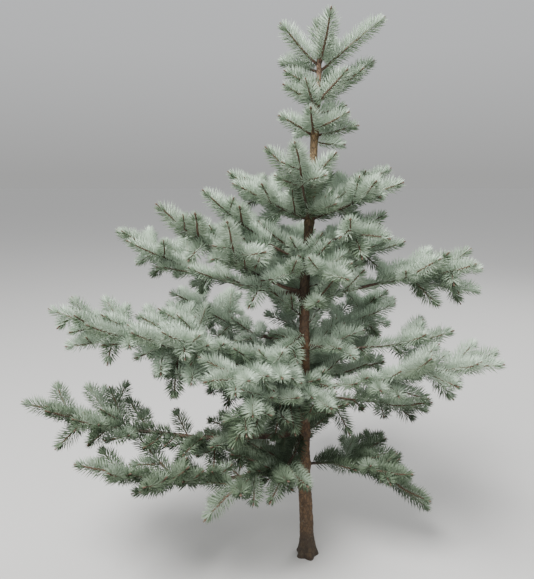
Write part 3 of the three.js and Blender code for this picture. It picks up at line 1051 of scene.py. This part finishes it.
# %% [markdown]
# A real needle is a stiff four-sided spike, bent a little to the light. Here it has three faces
# towards its foot and three towards its point, closed and solid, so that it holds from any side.
# Six faces are few enough for over a hundred thousand needles. It is a little wider than life, so
# that fewer needles cover the shoot as well.

# %% Shape of the needles
NEEDLE_WIDTH = 2.1
RING_GAIN = 1.15  # three points on a circle are less wide than the circle
RING_RADIUS = NEEDLE_WIDTH / 2 * RING_GAIN
RING_TURNS = (math.pi / 2, math.pi * 7 / 6, math.pi * 11 / 6)
BEND = 0.1
BEND_UP = 0.7
BEND_AHEAD = 0.5
BELLY = 0.03
WIDEST = 0.5
SPIKE = np.array([(0, 2, 1), (0, 3, 2), (0, 1, 3), (4, 1, 2), (4, 2, 3), (4, 3, 1)])
SPIKE_POINTS = 5


def needle_mesh(needles):
    """All needles as closed spikes: a foot, a ring of three and a point."""
    base, aim, over, along, size = (needles[key] for key in ("base", "aim", "over", "along", "size"))
    tip = base + aim * size + (over * BEND_UP + along * BEND_AHEAD) * BEND * size
    middle = base * (1 - WIDEST) + tip * WIDEST - over * BELLY * size
    beside = np.cross(aim, along)
    beside /= np.maximum(np.linalg.norm(beside, axis=1), 1e-6)[:, None]
    above = np.cross(beside, aim)
    ring = [
        middle + RING_RADIUS * (beside * math.cos(turn) + above * math.sin(turn))
        for turn in RING_TURNS
    ]
    points = np.stack([base, *ring, tip], axis=1)
    faces = SPIKE[None] + SPIKE_POINTS * np.arange(len(points))[:, None, None]
    return points, faces


print("a needle is", NEEDLE_LENGTH, "mm long and", NEEDLE_WIDTH, "mm wide")

# %% [markdown]
# A spray is one year's growth of one twig. Its tone counts steps from frosted to dark: steps of wear,
# more with each year, and steps of painted shade deep inside the crown, low down and where a twig
# hangs in the shade of its limb. A few worn sprays of the older years have gone olive. The needles
# below a shoot are painted a step or two darker than those above, as shade, which is what makes each
# shoot stand out.

# %% Tint of each spray
YOUNG_TONE = 0.2
TONE_BY_AGE = 0.7
# Painted shade: steps of darker tint inside the crown, low down and on hanging twigs.
INNER_REACH = 0.4
INNER_PAINTED_SHADE = 0.8
LOW_PAINTED_SHADE = [(150, 3.1), (330, 2.6), (430, 1.9), (475, 1.0), (530, 0.3), (620, 0.0)]
HANGING_PAINTED_SHADE = 3.0
TONE_SPREAD = 0.5
FALL_FREE = 0.15
OLIVE_SHARE = 0.05
OLIVE_FROM = 3
DULLER_SHARE = 0.22


def spray_tints(limb, twig, count, random):
    """One tint for each year of a twig: duller with age, and darker with painted shade inside, low down
    and where it hangs.
    """
    root, tip = twig["points"][0], twig["points"][-1]
    fall = (root[2] - tip[2]) / twig["length"]
    out = np.linalg.norm((tip - trunk_centre(limb["height"]))[:2]) / limb["length"]
    # Painted shade: darker tints low down, near the trunk and on hanging twigs.
    tone = YOUNG_TONE + table_value(LOW_PAINTED_SHADE, (tip[2] + limb["height"]) / 2, False)
    tone += INNER_PAINTED_SHADE * max(0, 1 - out / INNER_REACH) + HANGING_PAINTED_SHADE * max(0, fall - FALL_FREE)
    years = np.arange(count)
    tones = tone + TONE_BY_AGE * years + random.normal(0, TONE_SPREAD, count)
    tints = np.clip(np.round(tones), 0, OLIVE - 1).astype(int)
    olive = (random.random(count) < OLIVE_SHARE) & (tints >= OLIVE_FROM) & (years > 0)
    return np.where(olive, OLIVE, tints)


def needle_tints(needles, tints, random):
    """The tint of the needle's spray, a darker one below the shoot as painted shade, and a duller one
    here and there.
    """
    tint = tints[needles["age"]]
    # Painted shade below the shoot, plus a duller step at random.
    duller = needles["below"] + (random.random(len(tint)) < DULLER_SHARE)
    return np.where(tint == OLIVE, OLIVE, np.minimum(tint + duller, OLIVE - 1))


oldest = len(NEEDLE_LIVES) - 2  # at the last age the needles have all fallen
print("tone of the youngest and the oldest spray:", YOUNG_TONE, YOUNG_TONE + oldest * TONE_BY_AGE)

# %% [markdown]
# Now the needles of a twig and their tints go together. The bare foot of a twig carries none, and
# they stop a little short of its tip, because the last ones lean over it. The leader's own needles
# stand on three stretches, few low down and many at its tip.

# %% Needles of one twig, and of the leader
LEADER_NEEDLES = [(1160, 1200, 0.25), (1236, 1262, 0.3), (1262, TRUNK_TIP, 0.8)]
LEADER_STEP = 6.0
LEADER_TINT = 2
LEADER_YEAR = 1000
TIP_RADIUS = 1.3
TIP_BACK = 12.0
TWIG_TAPER = 0.7
BARE_SHARE = 0.5
OVER_GROUND = 1
NEEDLE_SEED = 20
random = np.random.default_rng(NEEDLE_SEED)


def twig_radii(twig):
    share = np.linspace(0, 1, len(twig["points"]))
    return twig["thick"] * (1 - share) ** TWIG_TAPER + TIP_RADIUS * share


def spray_mesh(limb, twig):
    """The needles of one twig, without those whose points would reach the ground."""
    needles = needles_on(
        twig["points"], twig["frames"], twig_radii(twig), twig["length"], limb["year"], random,
        twig["clear"] * BARE_SHARE, twig["length"] - TIP_BACK,
    )
    tints = spray_tints(limb, twig, len(NEEDLE_LIVES), random)
    points, faces = needle_mesh(needles)
    kept = points[:, -1, 2] > OVER_GROUND
    numbers = np.repeat(needle_tints(needles, tints, random)[kept], len(SPIKE))
    return points.reshape(-1, 3), faces[kept].reshape(-1, 3), numbers


def leader_mesh(low, high, share):
    """Needles on the leader from one height to another, a share of what a young shoot has."""
    heights = np.arange(low, high + 1, LEADER_STEP)
    points = np.array([trunk_centre(z) for z in heights])
    radii = [trunk_radius(z) for z in heights]
    length = heights[-1] - heights[0]
    needles = needles_on(points, framed(points), radii, length, LEADER_YEAR, random, 1, length)
    kept = random.random(len(needles["size"])) < share
    points, faces = needle_mesh({key: value[kept] for key, value in needles.items()})
    return points.reshape(-1, 3), faces.reshape(-1, 3), np.full(len(faces) * len(SPIKE), LEADER_TINT)


print("stretches of the leader with needles:", len(LEADER_NEEDLES))

# %% [markdown]
# Joined by whorl, the needles make eight pieces, each below two hundred thousand triangles. The
# three upper whorls and the leader share one. Each piece replaces the masses of its whorls.

# %% Needles of the whole tree
UPPER_WHORLS = 3


def needles_of(limbs):
    return [spray_mesh(limb, twig) for limb in limbs for twig in limb["twigs"]]


def needle_piece(name, limbs, parts, more=()):
    """One piece from the parts of its limbs. It replaces their masses, and more."""
    points, faces, tints = joined(parts)
    sprays = piece(name, points, faces, tint_materials, tints, smooth=False)
    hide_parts(*[limb["name"] + "_needles" for limb in limbs], *more)
    print(name, len(faces), "triangles")
    return len(faces) // len(SPIKE)


upper = [limb for limb in LIMBS if limb["whorl"] >= WHORLS[UPPER_WHORLS - 1][0]]
upper_parts = needles_of(upper) + [leader_mesh(*stretch) for stretch in LEADER_NEEDLES]
all_needles = needle_piece("needles_top", upper, upper_parts, ["leader_needles"])
for height, _, group in WHORLS[UPPER_WHORLS:]:
    whorl_name = next(iter(group)).split("_")[0]
    limbs = [limb for limb in LIMBS if limb["whorl"] == height]
    all_needles += needle_piece("needles_" + whorl_name, limbs, needles_of(limbs))
print("needles:", all_needles)

# %% [markdown]
# The twigs show as thin brown lines under the brushes. Young wood is orange brown and hairless,
# older wood grey brown. A twig is one closed tube, and its bands get the finish of their age.

# %% Twigs
TWIG_TINTS = {
    "Young twig bark": (0.120, 0.068, 0.044),
    "Older twig bark": (0.085, 0.053, 0.038),
    "Oldest twig bark": (0.062, 0.043, 0.033),
}
TWIG_SIDES = 5
TWIG_GRAIN = 300
TWIG_ROUGHNESS = (0.6, 0.95)

twig_materials = [
    dull_material(name, colour, TWIG_GRAIN, TWIG_ROUGHNESS) for name, colour in TWIG_TINTS.items()
]


def twig_mesh(limb, twig):
    points = twig["points"]
    vertices, faces, ring = tube(points, twig["frames"], twig_radii(twig), TWIG_SIDES)
    step = twig["length"] / (len(points) - 1)
    age = (twig["length"] - ring * step) / limb["year"]
    return vertices, faces, np.clip(age.astype(int), 0, len(twig_materials) - 1)


points, faces, ages = joined([twig_mesh(limb, twig) for limb in LIMBS for twig in limb["twigs"]])
twigs = piece("twigs", points, faces, twig_materials, ages)
print("twig triangles:", len(faces))

# %% [markdown]
# Every shoot ends in a bud, and the strong ones carry two more beside it. A bud is a small spindle
# of pale brown scales. Hundreds of equal things on given places are what Geometry Nodes are for:
# the tree of nodes below makes one spindle from a few named sizes, stands a copy on every point it
# gets, turned and scaled by that point's own values, and ends in a real mesh with its finish.

# %% Nodes that stand a bud on every point
BUD_SIDES = 6
BUD_RINGS = 4


def bud_nodes():
    """A ball is drawn out to a spindle on its foot, stood on the points, made real and finished."""
    tree = bpy.data.node_groups.new("Buds on points", "GeometryNodeTree")
    for label, kind in (
        ("Geometry", "NodeSocketGeometry"),
        ("Length", "NodeSocketFloat"),
        ("Radius", "NodeSocketFloat"),
        ("Finish", "NodeSocketMaterial"),
    ):
        tree.interface.new_socket(name=label, in_out="INPUT", socket_type=kind)
    tree.interface.new_socket(name="Geometry", in_out="OUTPUT", socket_type="NodeSocketGeometry")
    wire(
        tree,
        {
            "given": "NodeGroupInput",
            "ball": "GeometryNodeMeshUVSphere",
            "half": "ShaderNodeMath",
            "scale": "ShaderNodeCombineXYZ",
            "shift": "ShaderNodeCombineXYZ",
            "spindle": "GeometryNodeTransform",
            "aim": "GeometryNodeInputNamedAttribute",
            "size": "GeometryNodeInputNamedAttribute",
            "turn": "FunctionNodeAlignRotationToVector",
            "stand": "GeometryNodeInstanceOnPoints",
            "real": "GeometryNodeRealizeInstances",
            "smooth": "GeometryNodeSetShadeSmooth",
            "finish": "GeometryNodeSetMaterial",
            "made": "NodeGroupOutput",
        },
        [
            ("ball", "Segments", BUD_SIDES),
            ("ball", "Rings", BUD_RINGS),
            ("ball", "Radius", 1.0),
            ("half", 1, 0.5),
            ("aim", "Name", "aim"),
            ("size", "Name", "size"),
        ],
        [
            ("given", "Length", "half", 0),
            ("given", "Radius", "scale", "X"),
            ("given", "Radius", "scale", "Y"),
            ("half", 0, "scale", "Z"),
            ("half", 0, "shift", "Z"),
            ("ball", "Mesh", "spindle", "Geometry"),
            ("scale", 0, "spindle", "Scale"),
            ("shift", 0, "spindle", "Translation"),
            ("aim", "Attribute", "turn", "Vector"),
            ("given", "Geometry", "stand", "Points"),
            ("spindle", 0, "stand", "Instance"),
            ("turn", 0, "stand", "Rotation"),
            ("size", "Attribute", "stand", "Scale"),
            ("stand", 0, "real", 0),
            ("real", 0, "smooth", 0),
            ("smooth", 0, "finish", "Geometry"),
            ("given", "Finish", "finish", "Material"),
            ("finish", 0, "made", 0),
        ],
        [("half", "operation", "MULTIPLY"), ("aim", "data_type", "FLOAT_VECTOR"), ("turn", "axis", "Z")],
    )
    return tree


bud_tree = bud_nodes()
print("named inputs:", [item.name for item in bud_tree.interface.items_tree if item.in_out == "INPUT"])

# %% [markdown]
# The points are the shoots' tips. A limb's own axis and its side twigs are the strong ones, whose
# two smaller buds lean out beside the first.

# %% Places of the buds
BUD_LEAN = math.radians(40)
SIDE_BUD = 0.75
SIDE_BUD_BACK = 3


def buds_of(twig):
    """Root, direction and size of the buds at one twig's tip."""
    along, beside, _ = twig["frames"]
    tip, aim = twig["points"][-1], along[-1]
    buds = [(tip - aim, aim, 1.0)]
    for hand in (-1, 1) if twig["order"] in (AXIS, SIDE) else ():
        side = aim * math.cos(BUD_LEAN) + beside[-1] * hand * math.sin(BUD_LEAN)
        buds.append((tip - aim * SIDE_BUD_BACK, side, SIDE_BUD))
    return buds


spots, aims, sizes = zip(*[bud for limb in LIMBS for twig in limb["twigs"] for bud in buds_of(twig)])
print("buds:", len(spots))

# %% [markdown]
# A mesh without faces carries the points, and two attributes give each bud its direction and size.
# The modifier's inputs are set by the identifiers of their sockets, before anything is evaluated.
# What comes out is kept as a plain mesh, and the carrier is removed.

# %% Buds
BUD_LENGTH = 6.0
BUD_RADIUS = 1.9
BUD_COLOUR = (0.135, 0.085, 0.055)
BUD_GRAIN = 500
BUD_ROUGHNESS = (0.4, 0.7)

bud_finish = dull_material("Bud scales", BUD_COLOUR, BUD_GRAIN, BUD_ROUGHNESS)
carrier_mesh = bpy.data.meshes.new("bud points")
carrier_mesh.vertices.add(len(spots))
carrier_mesh.vertices.foreach_set("co", (np.array(spots) * MM).astype(np.float32).ravel())
aim_values = carrier_mesh.attributes.new("aim", "FLOAT_VECTOR", "POINT")
aim_values.data.foreach_set("vector", np.array(aims, np.float32).ravel())
size_values = carrier_mesh.attributes.new("size", "FLOAT", "POINT")
size_values.data.foreach_set("value", np.array(sizes, np.float32))
carrier = bpy.data.objects.new("bud points", carrier_mesh)
bpy.context.scene.collection.objects.link(carrier)
grower = carrier.modifiers.new("buds", "NODES")
grower.node_group = bud_tree
bud_values = {"Length": BUD_LENGTH * MM, "Radius": BUD_RADIUS * MM, "Finish": bud_finish}
for item in bud_tree.interface.items_tree:
    if item.in_out == "INPUT" and item.name in bud_values:
        grower[item.identifier] = bud_values[item.name]
grown = carrier.evaluated_get(bpy.context.evaluated_depsgraph_get())
buds = bpy.data.objects.new("buds", bpy.data.meshes.new_from_object(grown))
bpy.data.objects.remove(carrier)
bpy.context.scene.collection.objects.link(buds)
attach(buds, "root")
print("faces of the buds:", len(buds.data.polygons))

# %% [markdown]
# The trunk's bark is the detail that one sees between the whorls. Low down it's reddish brown and
# breaks into small plates with sunk edges. Under the crown it's painted darker, as shade, and on the
# young leader it's smooth and tan. The plates and the collars round the limbs are in the mesh,
# because they show in the outline. Finer flakes are left to the finish.

# %% Relief of the bark
PLATE_WIDTH = 9.0
PLATE_LEAST = 0.45
PLATE_GAIN = 0.55
PLATE_SHAPE = 0.55
PLATE_SEED = 7.3
CRACK_WIDTH = 0.3
CRACK_DEPTH = 1.0
PLATE_RISE = 0.7
LUMP_WIDTH = 34.0
LUMP_SIZE = 1.1
FULL_RELIEF_RADIUS = 17.0
RELIEF_POWER = 1.4


def bark_relief(point, radius):
    """How far the bark stands out at a point: rough on thick wood, smooth on thin."""
    rough = min(radius / FULL_RELIEF_RADIUS, 1) ** RELIEF_POWER
    spot = Vector(point)
    seat = spot / (PLATE_WIDTH * (PLATE_LEAST + PLATE_GAIN * rough))
    seat.z *= PLATE_SHAPE
    near, seeds = noise.voronoi(seat)
    crack = min((near[1] - near[0]) / CRACK_WIDTH, 1) - 1
    rise = noise.cell(seeds[0] * PLATE_SEED)
    lump = noise.noise(spot / LUMP_WIDTH)
    return rough * (CRACK_DEPTH * crack + PLATE_RISE * rise + LUMP_SIZE * lump)


bark_spot = (FULL_RELIEF_RADIUS, 0, PLATE_WIDTH)
print("relief at one spot of thick wood:", round(bark_relief(bark_spot, FULL_RELIEF_RADIUS), 2), "mm")

# %% [markdown]
# The trunk is one skin of rings, close enough together for the plates. At its foot it flares into
# the starts of the roots, and round every limb it swells into a collar. The relief pushes each
# point out or in along its ring.

# %% Trunk
TRUNK_SIDES = 56
TRUNK_STEP = 2.7
FLARE_HEIGHT = 70
FLARE_SPREAD = 0.27
FLARE_LOBING = 0.18
FLARE_LOBES = 5
FOOT_HEIGHT = 6
END_BUD = 7
COLLAR_SIZE = 2.6
COLLAR_LIMB_RADIUS = 6
COLLAR_REACH = 26
COLLAR_AROUND = 1.7
COLLAR_UP = 2.0


def collar(z, turn):
    """The swelling round the limbs' roots, at one height and all round the trunk."""
    swell = np.zeros(len(turn))
    for limb in LIMBS:
        up = z - limb["height"]
        if abs(up) > COLLAR_REACH:
            continue
        size = limb["radius"] if limb["bare"] > 0 else limb["twigs"][0]["thick"]
        apart = (turn - math.radians(limb["turn"]) + np.pi) % (2 * np.pi) - np.pi
        around = apart * trunk_radius(z)
        fall = (around / (COLLAR_AROUND * size)) ** 2 + (up / (COLLAR_UP * size)) ** 2
        swell += COLLAR_SIZE * size / COLLAR_LIMB_RADIUS * np.exp(-fall)
    return swell


def trunk_mesh():
    """Rings up the trunk, with flare and collars, and relief that fades out at the ground."""
    heights = np.append(np.arange(0, TRUNK_TIP, TRUNK_STEP), TRUNK_TIP)
    turn = 2 * np.pi * np.arange(TRUNK_SIDES) / TRUNK_SIDES
    out = np.stack([np.cos(turn), np.sin(turn), np.zeros(TRUNK_SIDES)], axis=1)
    rings = []
    for z in heights:
        fading = max(0, 1 - z / FLARE_HEIGHT) ** 2
        flare = 1 + fading * (FLARE_SPREAD + FLARE_LOBING * np.cos(FLARE_LOBES * turn))
        radius = trunk_radius(z) * flare
        ring = trunk_centre(z) + out * radius[:, None]
        relief = np.array([bark_relief(p, r) for p, r in zip(ring, radius)]) * min(1, z / FOOT_HEIGHT)
        rings.append(ring + out * (relief + collar(z, turn))[:, None])
    ends = [trunk_centre(0), trunk_centre(TRUNK_TIP) + UP * END_BUD]
    vertices = np.concatenate([np.array(rings).reshape(-1, 3), ends])
    return vertices, skin(len(heights), TRUNK_SIDES)


trunk_points, trunk_faces = trunk_mesh()
print("trunk triangles:", len(trunk_faces))

# %% [markdown]
# Both barks break into flakes, finer than the plates of the mesh. One group serves them: cells,
# bent a little and drawn out along the wood, tell flake from flake, their edges give the dark
# lines, and both together give a height for the normal.

# %% Group for flakes of bark
FLAKE_BEND_GRAIN = 60.0
FLAKE_BEND = (0.012, 0.012, 0.012)
FLAKE_EDGE = 0.14
FLAKE_GRAIN = 700.0
FLAKE_GRAIN_DETAIL = 4.0
FLAKE_GRAIN_SHARE = 0.5

flakes = new_group(
    "Bark flakes",
    {"Fineness": 140.0, "Stretch": 0.5},
    ["Plate", "Line", "Height"],
    {
        "place": "ShaderNodeTexCoord",
        "bend": "ShaderNodeTexNoise",
        "bent": "ShaderNodeVectorMath",
        "drawn": "ShaderNodeCombineXYZ",
        "squeezed": "ShaderNodeVectorMath",
        "cells": "ShaderNodeTexVoronoi",
        "edges": "ShaderNodeTexVoronoi",
        "tone": "ShaderNodeSeparateColor",
        "line": "ShaderNodeMapRange",
        "grain": "ShaderNodeTexNoise",
        "rough": "ShaderNodeMath",
        "height": "ShaderNodeMath",
    },
    [
        ("bend", "Scale", FLAKE_BEND_GRAIN),
        ("bent", 1, FLAKE_BEND),
        ("drawn", "X", 1.0),
        ("drawn", "Y", 1.0),
        ("line", "From Max", FLAKE_EDGE),
        ("line", "To Min", 1.0),
        ("line", "To Max", 0.0),
        ("grain", "Scale", FLAKE_GRAIN),
        ("grain", "Detail", FLAKE_GRAIN_DETAIL),
        ("rough", 1, FLAKE_GRAIN_SHARE),
    ],
    [
        ("place", "Object", "bend", "Vector"),
        ("bend", "Color", "bent", 0),
        ("place", "Object", "bent", 2),
        ("given", "Stretch", "drawn", "Z"),
        ("bent", "Vector", "squeezed", 0),
        ("drawn", "Vector", "squeezed", 1),
        ("squeezed", "Vector", "cells", "Vector"),
        ("squeezed", "Vector", "edges", "Vector"),
        ("given", "Fineness", "cells", "Scale"),
        ("given", "Fineness", "edges", "Scale"),
        ("cells", "Color", "tone", "Color"),
        ("edges", "Distance", "line", "Value"),
        ("place", "Object", "grain", "Vector"),
        ("grain", "Fac", "rough", 0),
        ("tone", "Red", "rough", 2),
        ("rough", "Value", "height", 0),
        ("line", "Result", "height", 1),
        ("tone", "Red", "made", "Plate"),
        ("line", "Result", "made", "Line"),
        ("height", "Value", "made", "Height"),
    ],
    [
        ("bent", "operation", "MULTIPLY_ADD"),
        ("squeezed", "operation", "MULTIPLY"),
        ("edges", "feature", "DISTANCE_TO_EDGE"),
        ("rough", "operation", "MULTIPLY_ADD"),
        ("height", "operation", "SUBTRACT"),
    ],
)
print("outputs:", [item.name for item in flakes.interface.items_tree if item.in_out == "OUTPUT"])

# %% [markdown]
# Old bark carries pale specks, such as lichen and dried resin leave. The second group is a mask for
# them: only the highest spots of a noise, with a soft edge.

# %% Group for pale specks
SPECK_DETAIL = 6.0
SPECK_ROUGHNESS = 0.65
SPECK_EDGE = 0.08

specks = new_group(
    "Pale specks",
    {"Fineness": 90.0, "Least": 0.62},
    ["Mask"],
    {
        "place": "ShaderNodeTexCoord",
        "spots": "ShaderNodeTexNoise",
        "top": "ShaderNodeMath",
        "edge": "ShaderNodeMapRange",
    },
    [
        ("spots", "Detail", SPECK_DETAIL),
        ("spots", "Roughness", SPECK_ROUGHNESS),
        ("top", 1, SPECK_EDGE),
    ],
    [
        ("place", "Object", "spots", "Vector"),
        ("given", "Fineness", "spots", "Scale"),
        ("spots", "Fac", "edge", "Value"),
        ("given", "Least", "edge", "From Min"),
        ("given", "Least", "top", 0),
        ("top", "Value", "edge", "From Max"),
        ("edge", "Result", "made", "Mask"),
    ],
)
print("groups:", [group.name for group in bpy.data.node_groups])

# %% [markdown]
# The colour of the bark goes by height on the trunk: by age, reddish brown and old low down and tan
# on the young wood above, and between them darker with painted shade under the crown. On the boughs
# it only wanders. Each is a small function that gives one colour output to a material.

# %% Colours of the bark
# By share of the trunk's height: darker at the foot, reddish brown low down, painted shade from 0.50 to
# 0.64 under the crown, tan above.
TRUNK_COLOURS = [
    (0.00, (0.060, 0.045, 0.028)),
    (0.10, (0.125, 0.074, 0.036)),
    (0.32, (0.110, 0.062, 0.030)),
    (0.43, (0.130, 0.068, 0.032)),
    (0.50, (0.100, 0.056, 0.030)),
    (0.54, (0.070, 0.046, 0.029)),
    (0.64, (0.095, 0.062, 0.036)),
    (0.72, (0.200, 0.130, 0.068)),
    (0.80, (0.300, 0.200, 0.100)),
    (0.90, (0.270, 0.170, 0.108)),
    (1.00, (0.330, 0.210, 0.145)),
]
BOUGH_COLOURS = [
    (0.25, (0.060, 0.040, 0.030)),
    (0.50, (0.110, 0.065, 0.045)),
    (0.75, (0.190, 0.115, 0.080)),
]
TRUNK_DRIFT_GRAIN = 25.0
TRUNK_DRIFT = 0.12
BOUGH_DRIFT_GRAIN = 18.0
BOUGH_DRIFT_DETAIL = 5.0


def by_height(tree):
    """The trunk's colour by height, with limits that drift a little up and down."""
    nodes = wire(
        tree,
        {
            "place": "ShaderNodeTexCoord",
            "split": "ShaderNodeSeparateXYZ",
            "share": "ShaderNodeMapRange",
            "drift": "ShaderNodeTexNoise",
            "shift": "ShaderNodeMath",
            "total": "ShaderNodeMath",
            "ramp": "ShaderNodeValToRGB",
        },
        [
            ("share", "From Max", TRUNK_TIP * MM),
            ("drift", "Scale", TRUNK_DRIFT_GRAIN),
            ("shift", 1, TRUNK_DRIFT),
            ("shift", 2, -TRUNK_DRIFT / 2),
        ],
        [
            ("place", "Object", "split", "Vector"),
            ("place", "Object", "drift", "Vector"),
            ("split", "Z", "share", "Value"),
            ("drift", "Fac", "shift", 0),
            ("share", "Result", "total", 0),
            ("shift", "Value", "total", 1),
            ("total", "Value", "ramp", "Fac"),
        ],
        [("shift", "operation", "MULTIPLY_ADD")],
    )
    fill_ramp(nodes["ramp"], TRUNK_COLOURS)
    return nodes["ramp"].outputs["Color"]


def by_drift(tree):
    """The boughs' colour, which wanders over all its tones."""
    nodes = wire(
        tree,
        {"place": "ShaderNodeTexCoord", "drift": "ShaderNodeTexNoise", "ramp": "ShaderNodeValToRGB"},
        [("drift", "Scale", BOUGH_DRIFT_GRAIN), ("drift", "Detail", BOUGH_DRIFT_DETAIL)],
        [("place", "Object", "drift", "Vector"), ("drift", "Fac", "ramp", "Fac")],
    )
    fill_ramp(nodes["ramp"], BOUGH_COLOURS)
    return nodes["ramp"].outputs["Color"]


print("colours along the trunk:", len(TRUNK_COLOURS))

# %% [markdown]
# The finish itself lays the parts over each other as the wood does: the colour, lighter or darker
# by flake, then the lines, then the specks. The bump is slight, since the large relief is real. A
# Mix node has sockets for every kind of value, so those for colours are found by their places.

# %% Bark finishes
LINE_COLOUR = (0.030, 0.020, 0.016)
SPECK_COLOUR = (0.300, 0.310, 0.250)
LINE_SHARE = 0.75
PLATE_TONES = (0.72, 1.22)
BARK_ROUGHNESS = (0.7, 0.95)
BARK_BUMP = 0.35
BARK_BUMP_DEPTH = 0.0012
MIX_SHARE, MIX_FIRST, MIX_SECOND, MIX_RESULT = 0, 6, 7, 2


def bark_material(name, colour_source, fineness, stretch, speck_least):
    """Bark over a colour that is made by a function of its own."""
    material, tree, shader = new_material(name)
    nodes = wire(
        tree,
        {
            "flake": "ShaderNodeGroup",
            "speck": "ShaderNodeGroup",
            "rough": "ShaderNodeGroup",
            "tone": "ShaderNodeMapRange",
            "line": "ShaderNodeMath",
            "bump": "ShaderNodeBump",
            "toned": "ShaderNodeMix",
            "lined": "ShaderNodeMix",
            "specked": "ShaderNodeMix",
        },
        [
            ("flake", "Fineness", fineness),
            ("flake", "Stretch", stretch),
            ("speck", "Least", speck_least),
            ("rough", "Low", BARK_ROUGHNESS[0]),
            ("rough", "High", BARK_ROUGHNESS[1]),
            ("tone", "To Min", PLATE_TONES[0]),
            ("tone", "To Max", PLATE_TONES[1]),
            ("line", 1, LINE_SHARE),
            ("bump", "Strength", BARK_BUMP),
            ("bump", "Distance", BARK_BUMP_DEPTH),
            ("toned", MIX_SHARE, 1.0),
            ("lined", MIX_SECOND, (*LINE_COLOUR, 1)),
            ("specked", MIX_SECOND, (*SPECK_COLOUR, 1)),
        ],
        [
            ("flake", "Plate", "tone", "Value"),
            ("flake", "Line", "line", 0),
            ("flake", "Height", "bump", "Height"),
            ("tone", "Result", "toned", MIX_SECOND),
            ("toned", MIX_RESULT, "lined", MIX_FIRST),
            ("line", "Value", "lined", MIX_SHARE),
            ("lined", MIX_RESULT, "specked", MIX_FIRST),
            ("speck", "Mask", "specked", MIX_SHARE),
            ("specked", MIX_RESULT, "shader", "Base Color"),
            ("rough", "Value", "shader", "Roughness"),
            ("bump", "Normal", "shader", "Normal"),
        ],
        [
            ("flake", "node_tree", flakes),
            ("speck", "node_tree", specks),
            ("rough", "node_tree", uneven),
            ("line", "operation", "MULTIPLY"),
            ("toned", "blend_type", "MULTIPLY"),
            *[(name, "data_type", "RGBA") for name in ("toned", "lined", "specked")],
        ],
        shader=shader,
    )
    tree.links.new(colour_source(tree), nodes["toned"].inputs[MIX_FIRST])
    return material


print("colour of the lines between flakes:", LINE_COLOUR)

# %% [markdown]
# A few values tell the two barks apart. The trunk's flakes are coarse and drawn out upwards, while
# those of the boughs are finer and rounder, with more specks on them.

# %% Bark of the trunk and of the boughs
TRUNK_BARK = {"fineness": 130.0, "stretch": 0.55, "speck_least": 0.66}
BOUGH_BARK = {"fineness": 260.0, "stretch": 0.8, "speck_least": 0.62}

trunk_finish = bark_material("Trunk bark", by_height, **TRUNK_BARK)
bough_finish = bark_material("Bough bark", by_drift, **BOUGH_BARK)
trunk = piece("trunk_with_bark", trunk_points, trunk_faces, [trunk_finish])
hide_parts("trunk")
print("finishes:", trunk_finish.name, "and", bough_finish.name)

# %% [markdown]
# A bough is the older part of a long limb, bare of needles. It's a closed tube with the same
# relief as the trunk, taken a little rougher than its thickness would give, and it ends inside the
# foot of the needled part.

# %% Boughs
BOUGH_SIDES = 14
BOUGH_PITCH = 5.0
BOUGH_ROUGHER = 1.4


def bough_mesh(limb):
    """The bare stretch of one limb, with relief on every ring."""
    end = limb["bare"] / limb["length"]
    share = np.linspace(0, 1, int(limb["bare"] / BOUGH_PITCH))
    points = kinked(np.array([limb["line"](end * i) for i in share]))
    frames = framed(points)
    radii = limb["radius"] * (1 + (BOUGH_TAPER - 1) * share)
    turn = 2 * np.pi * np.arange(BOUGH_SIDES) / BOUGH_SIDES
    relief = []
    for point, beside, over, radius in zip(points, *frames[1:], radii):
        out = np.cos(turn)[:, None] * beside - np.sin(turn)[:, None] * over
        relief.append([bark_relief(point + step, radius * BOUGH_ROUGHER) for step in out * radius])
    return tube(points, frames, radii[:, None] + np.array(relief), BOUGH_SIDES)


bough_limbs = [limb for limb in LIMBS if limb["bare"] > 0]
points, faces, _ = joined([bough_mesh(limb) for limb in bough_limbs])
boughs = piece("boughs_with_bark", points, faces, [bough_finish])
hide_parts(*[limb["name"] + "_bough" for limb in bough_limbs])
print("bough triangles:", len(faces))
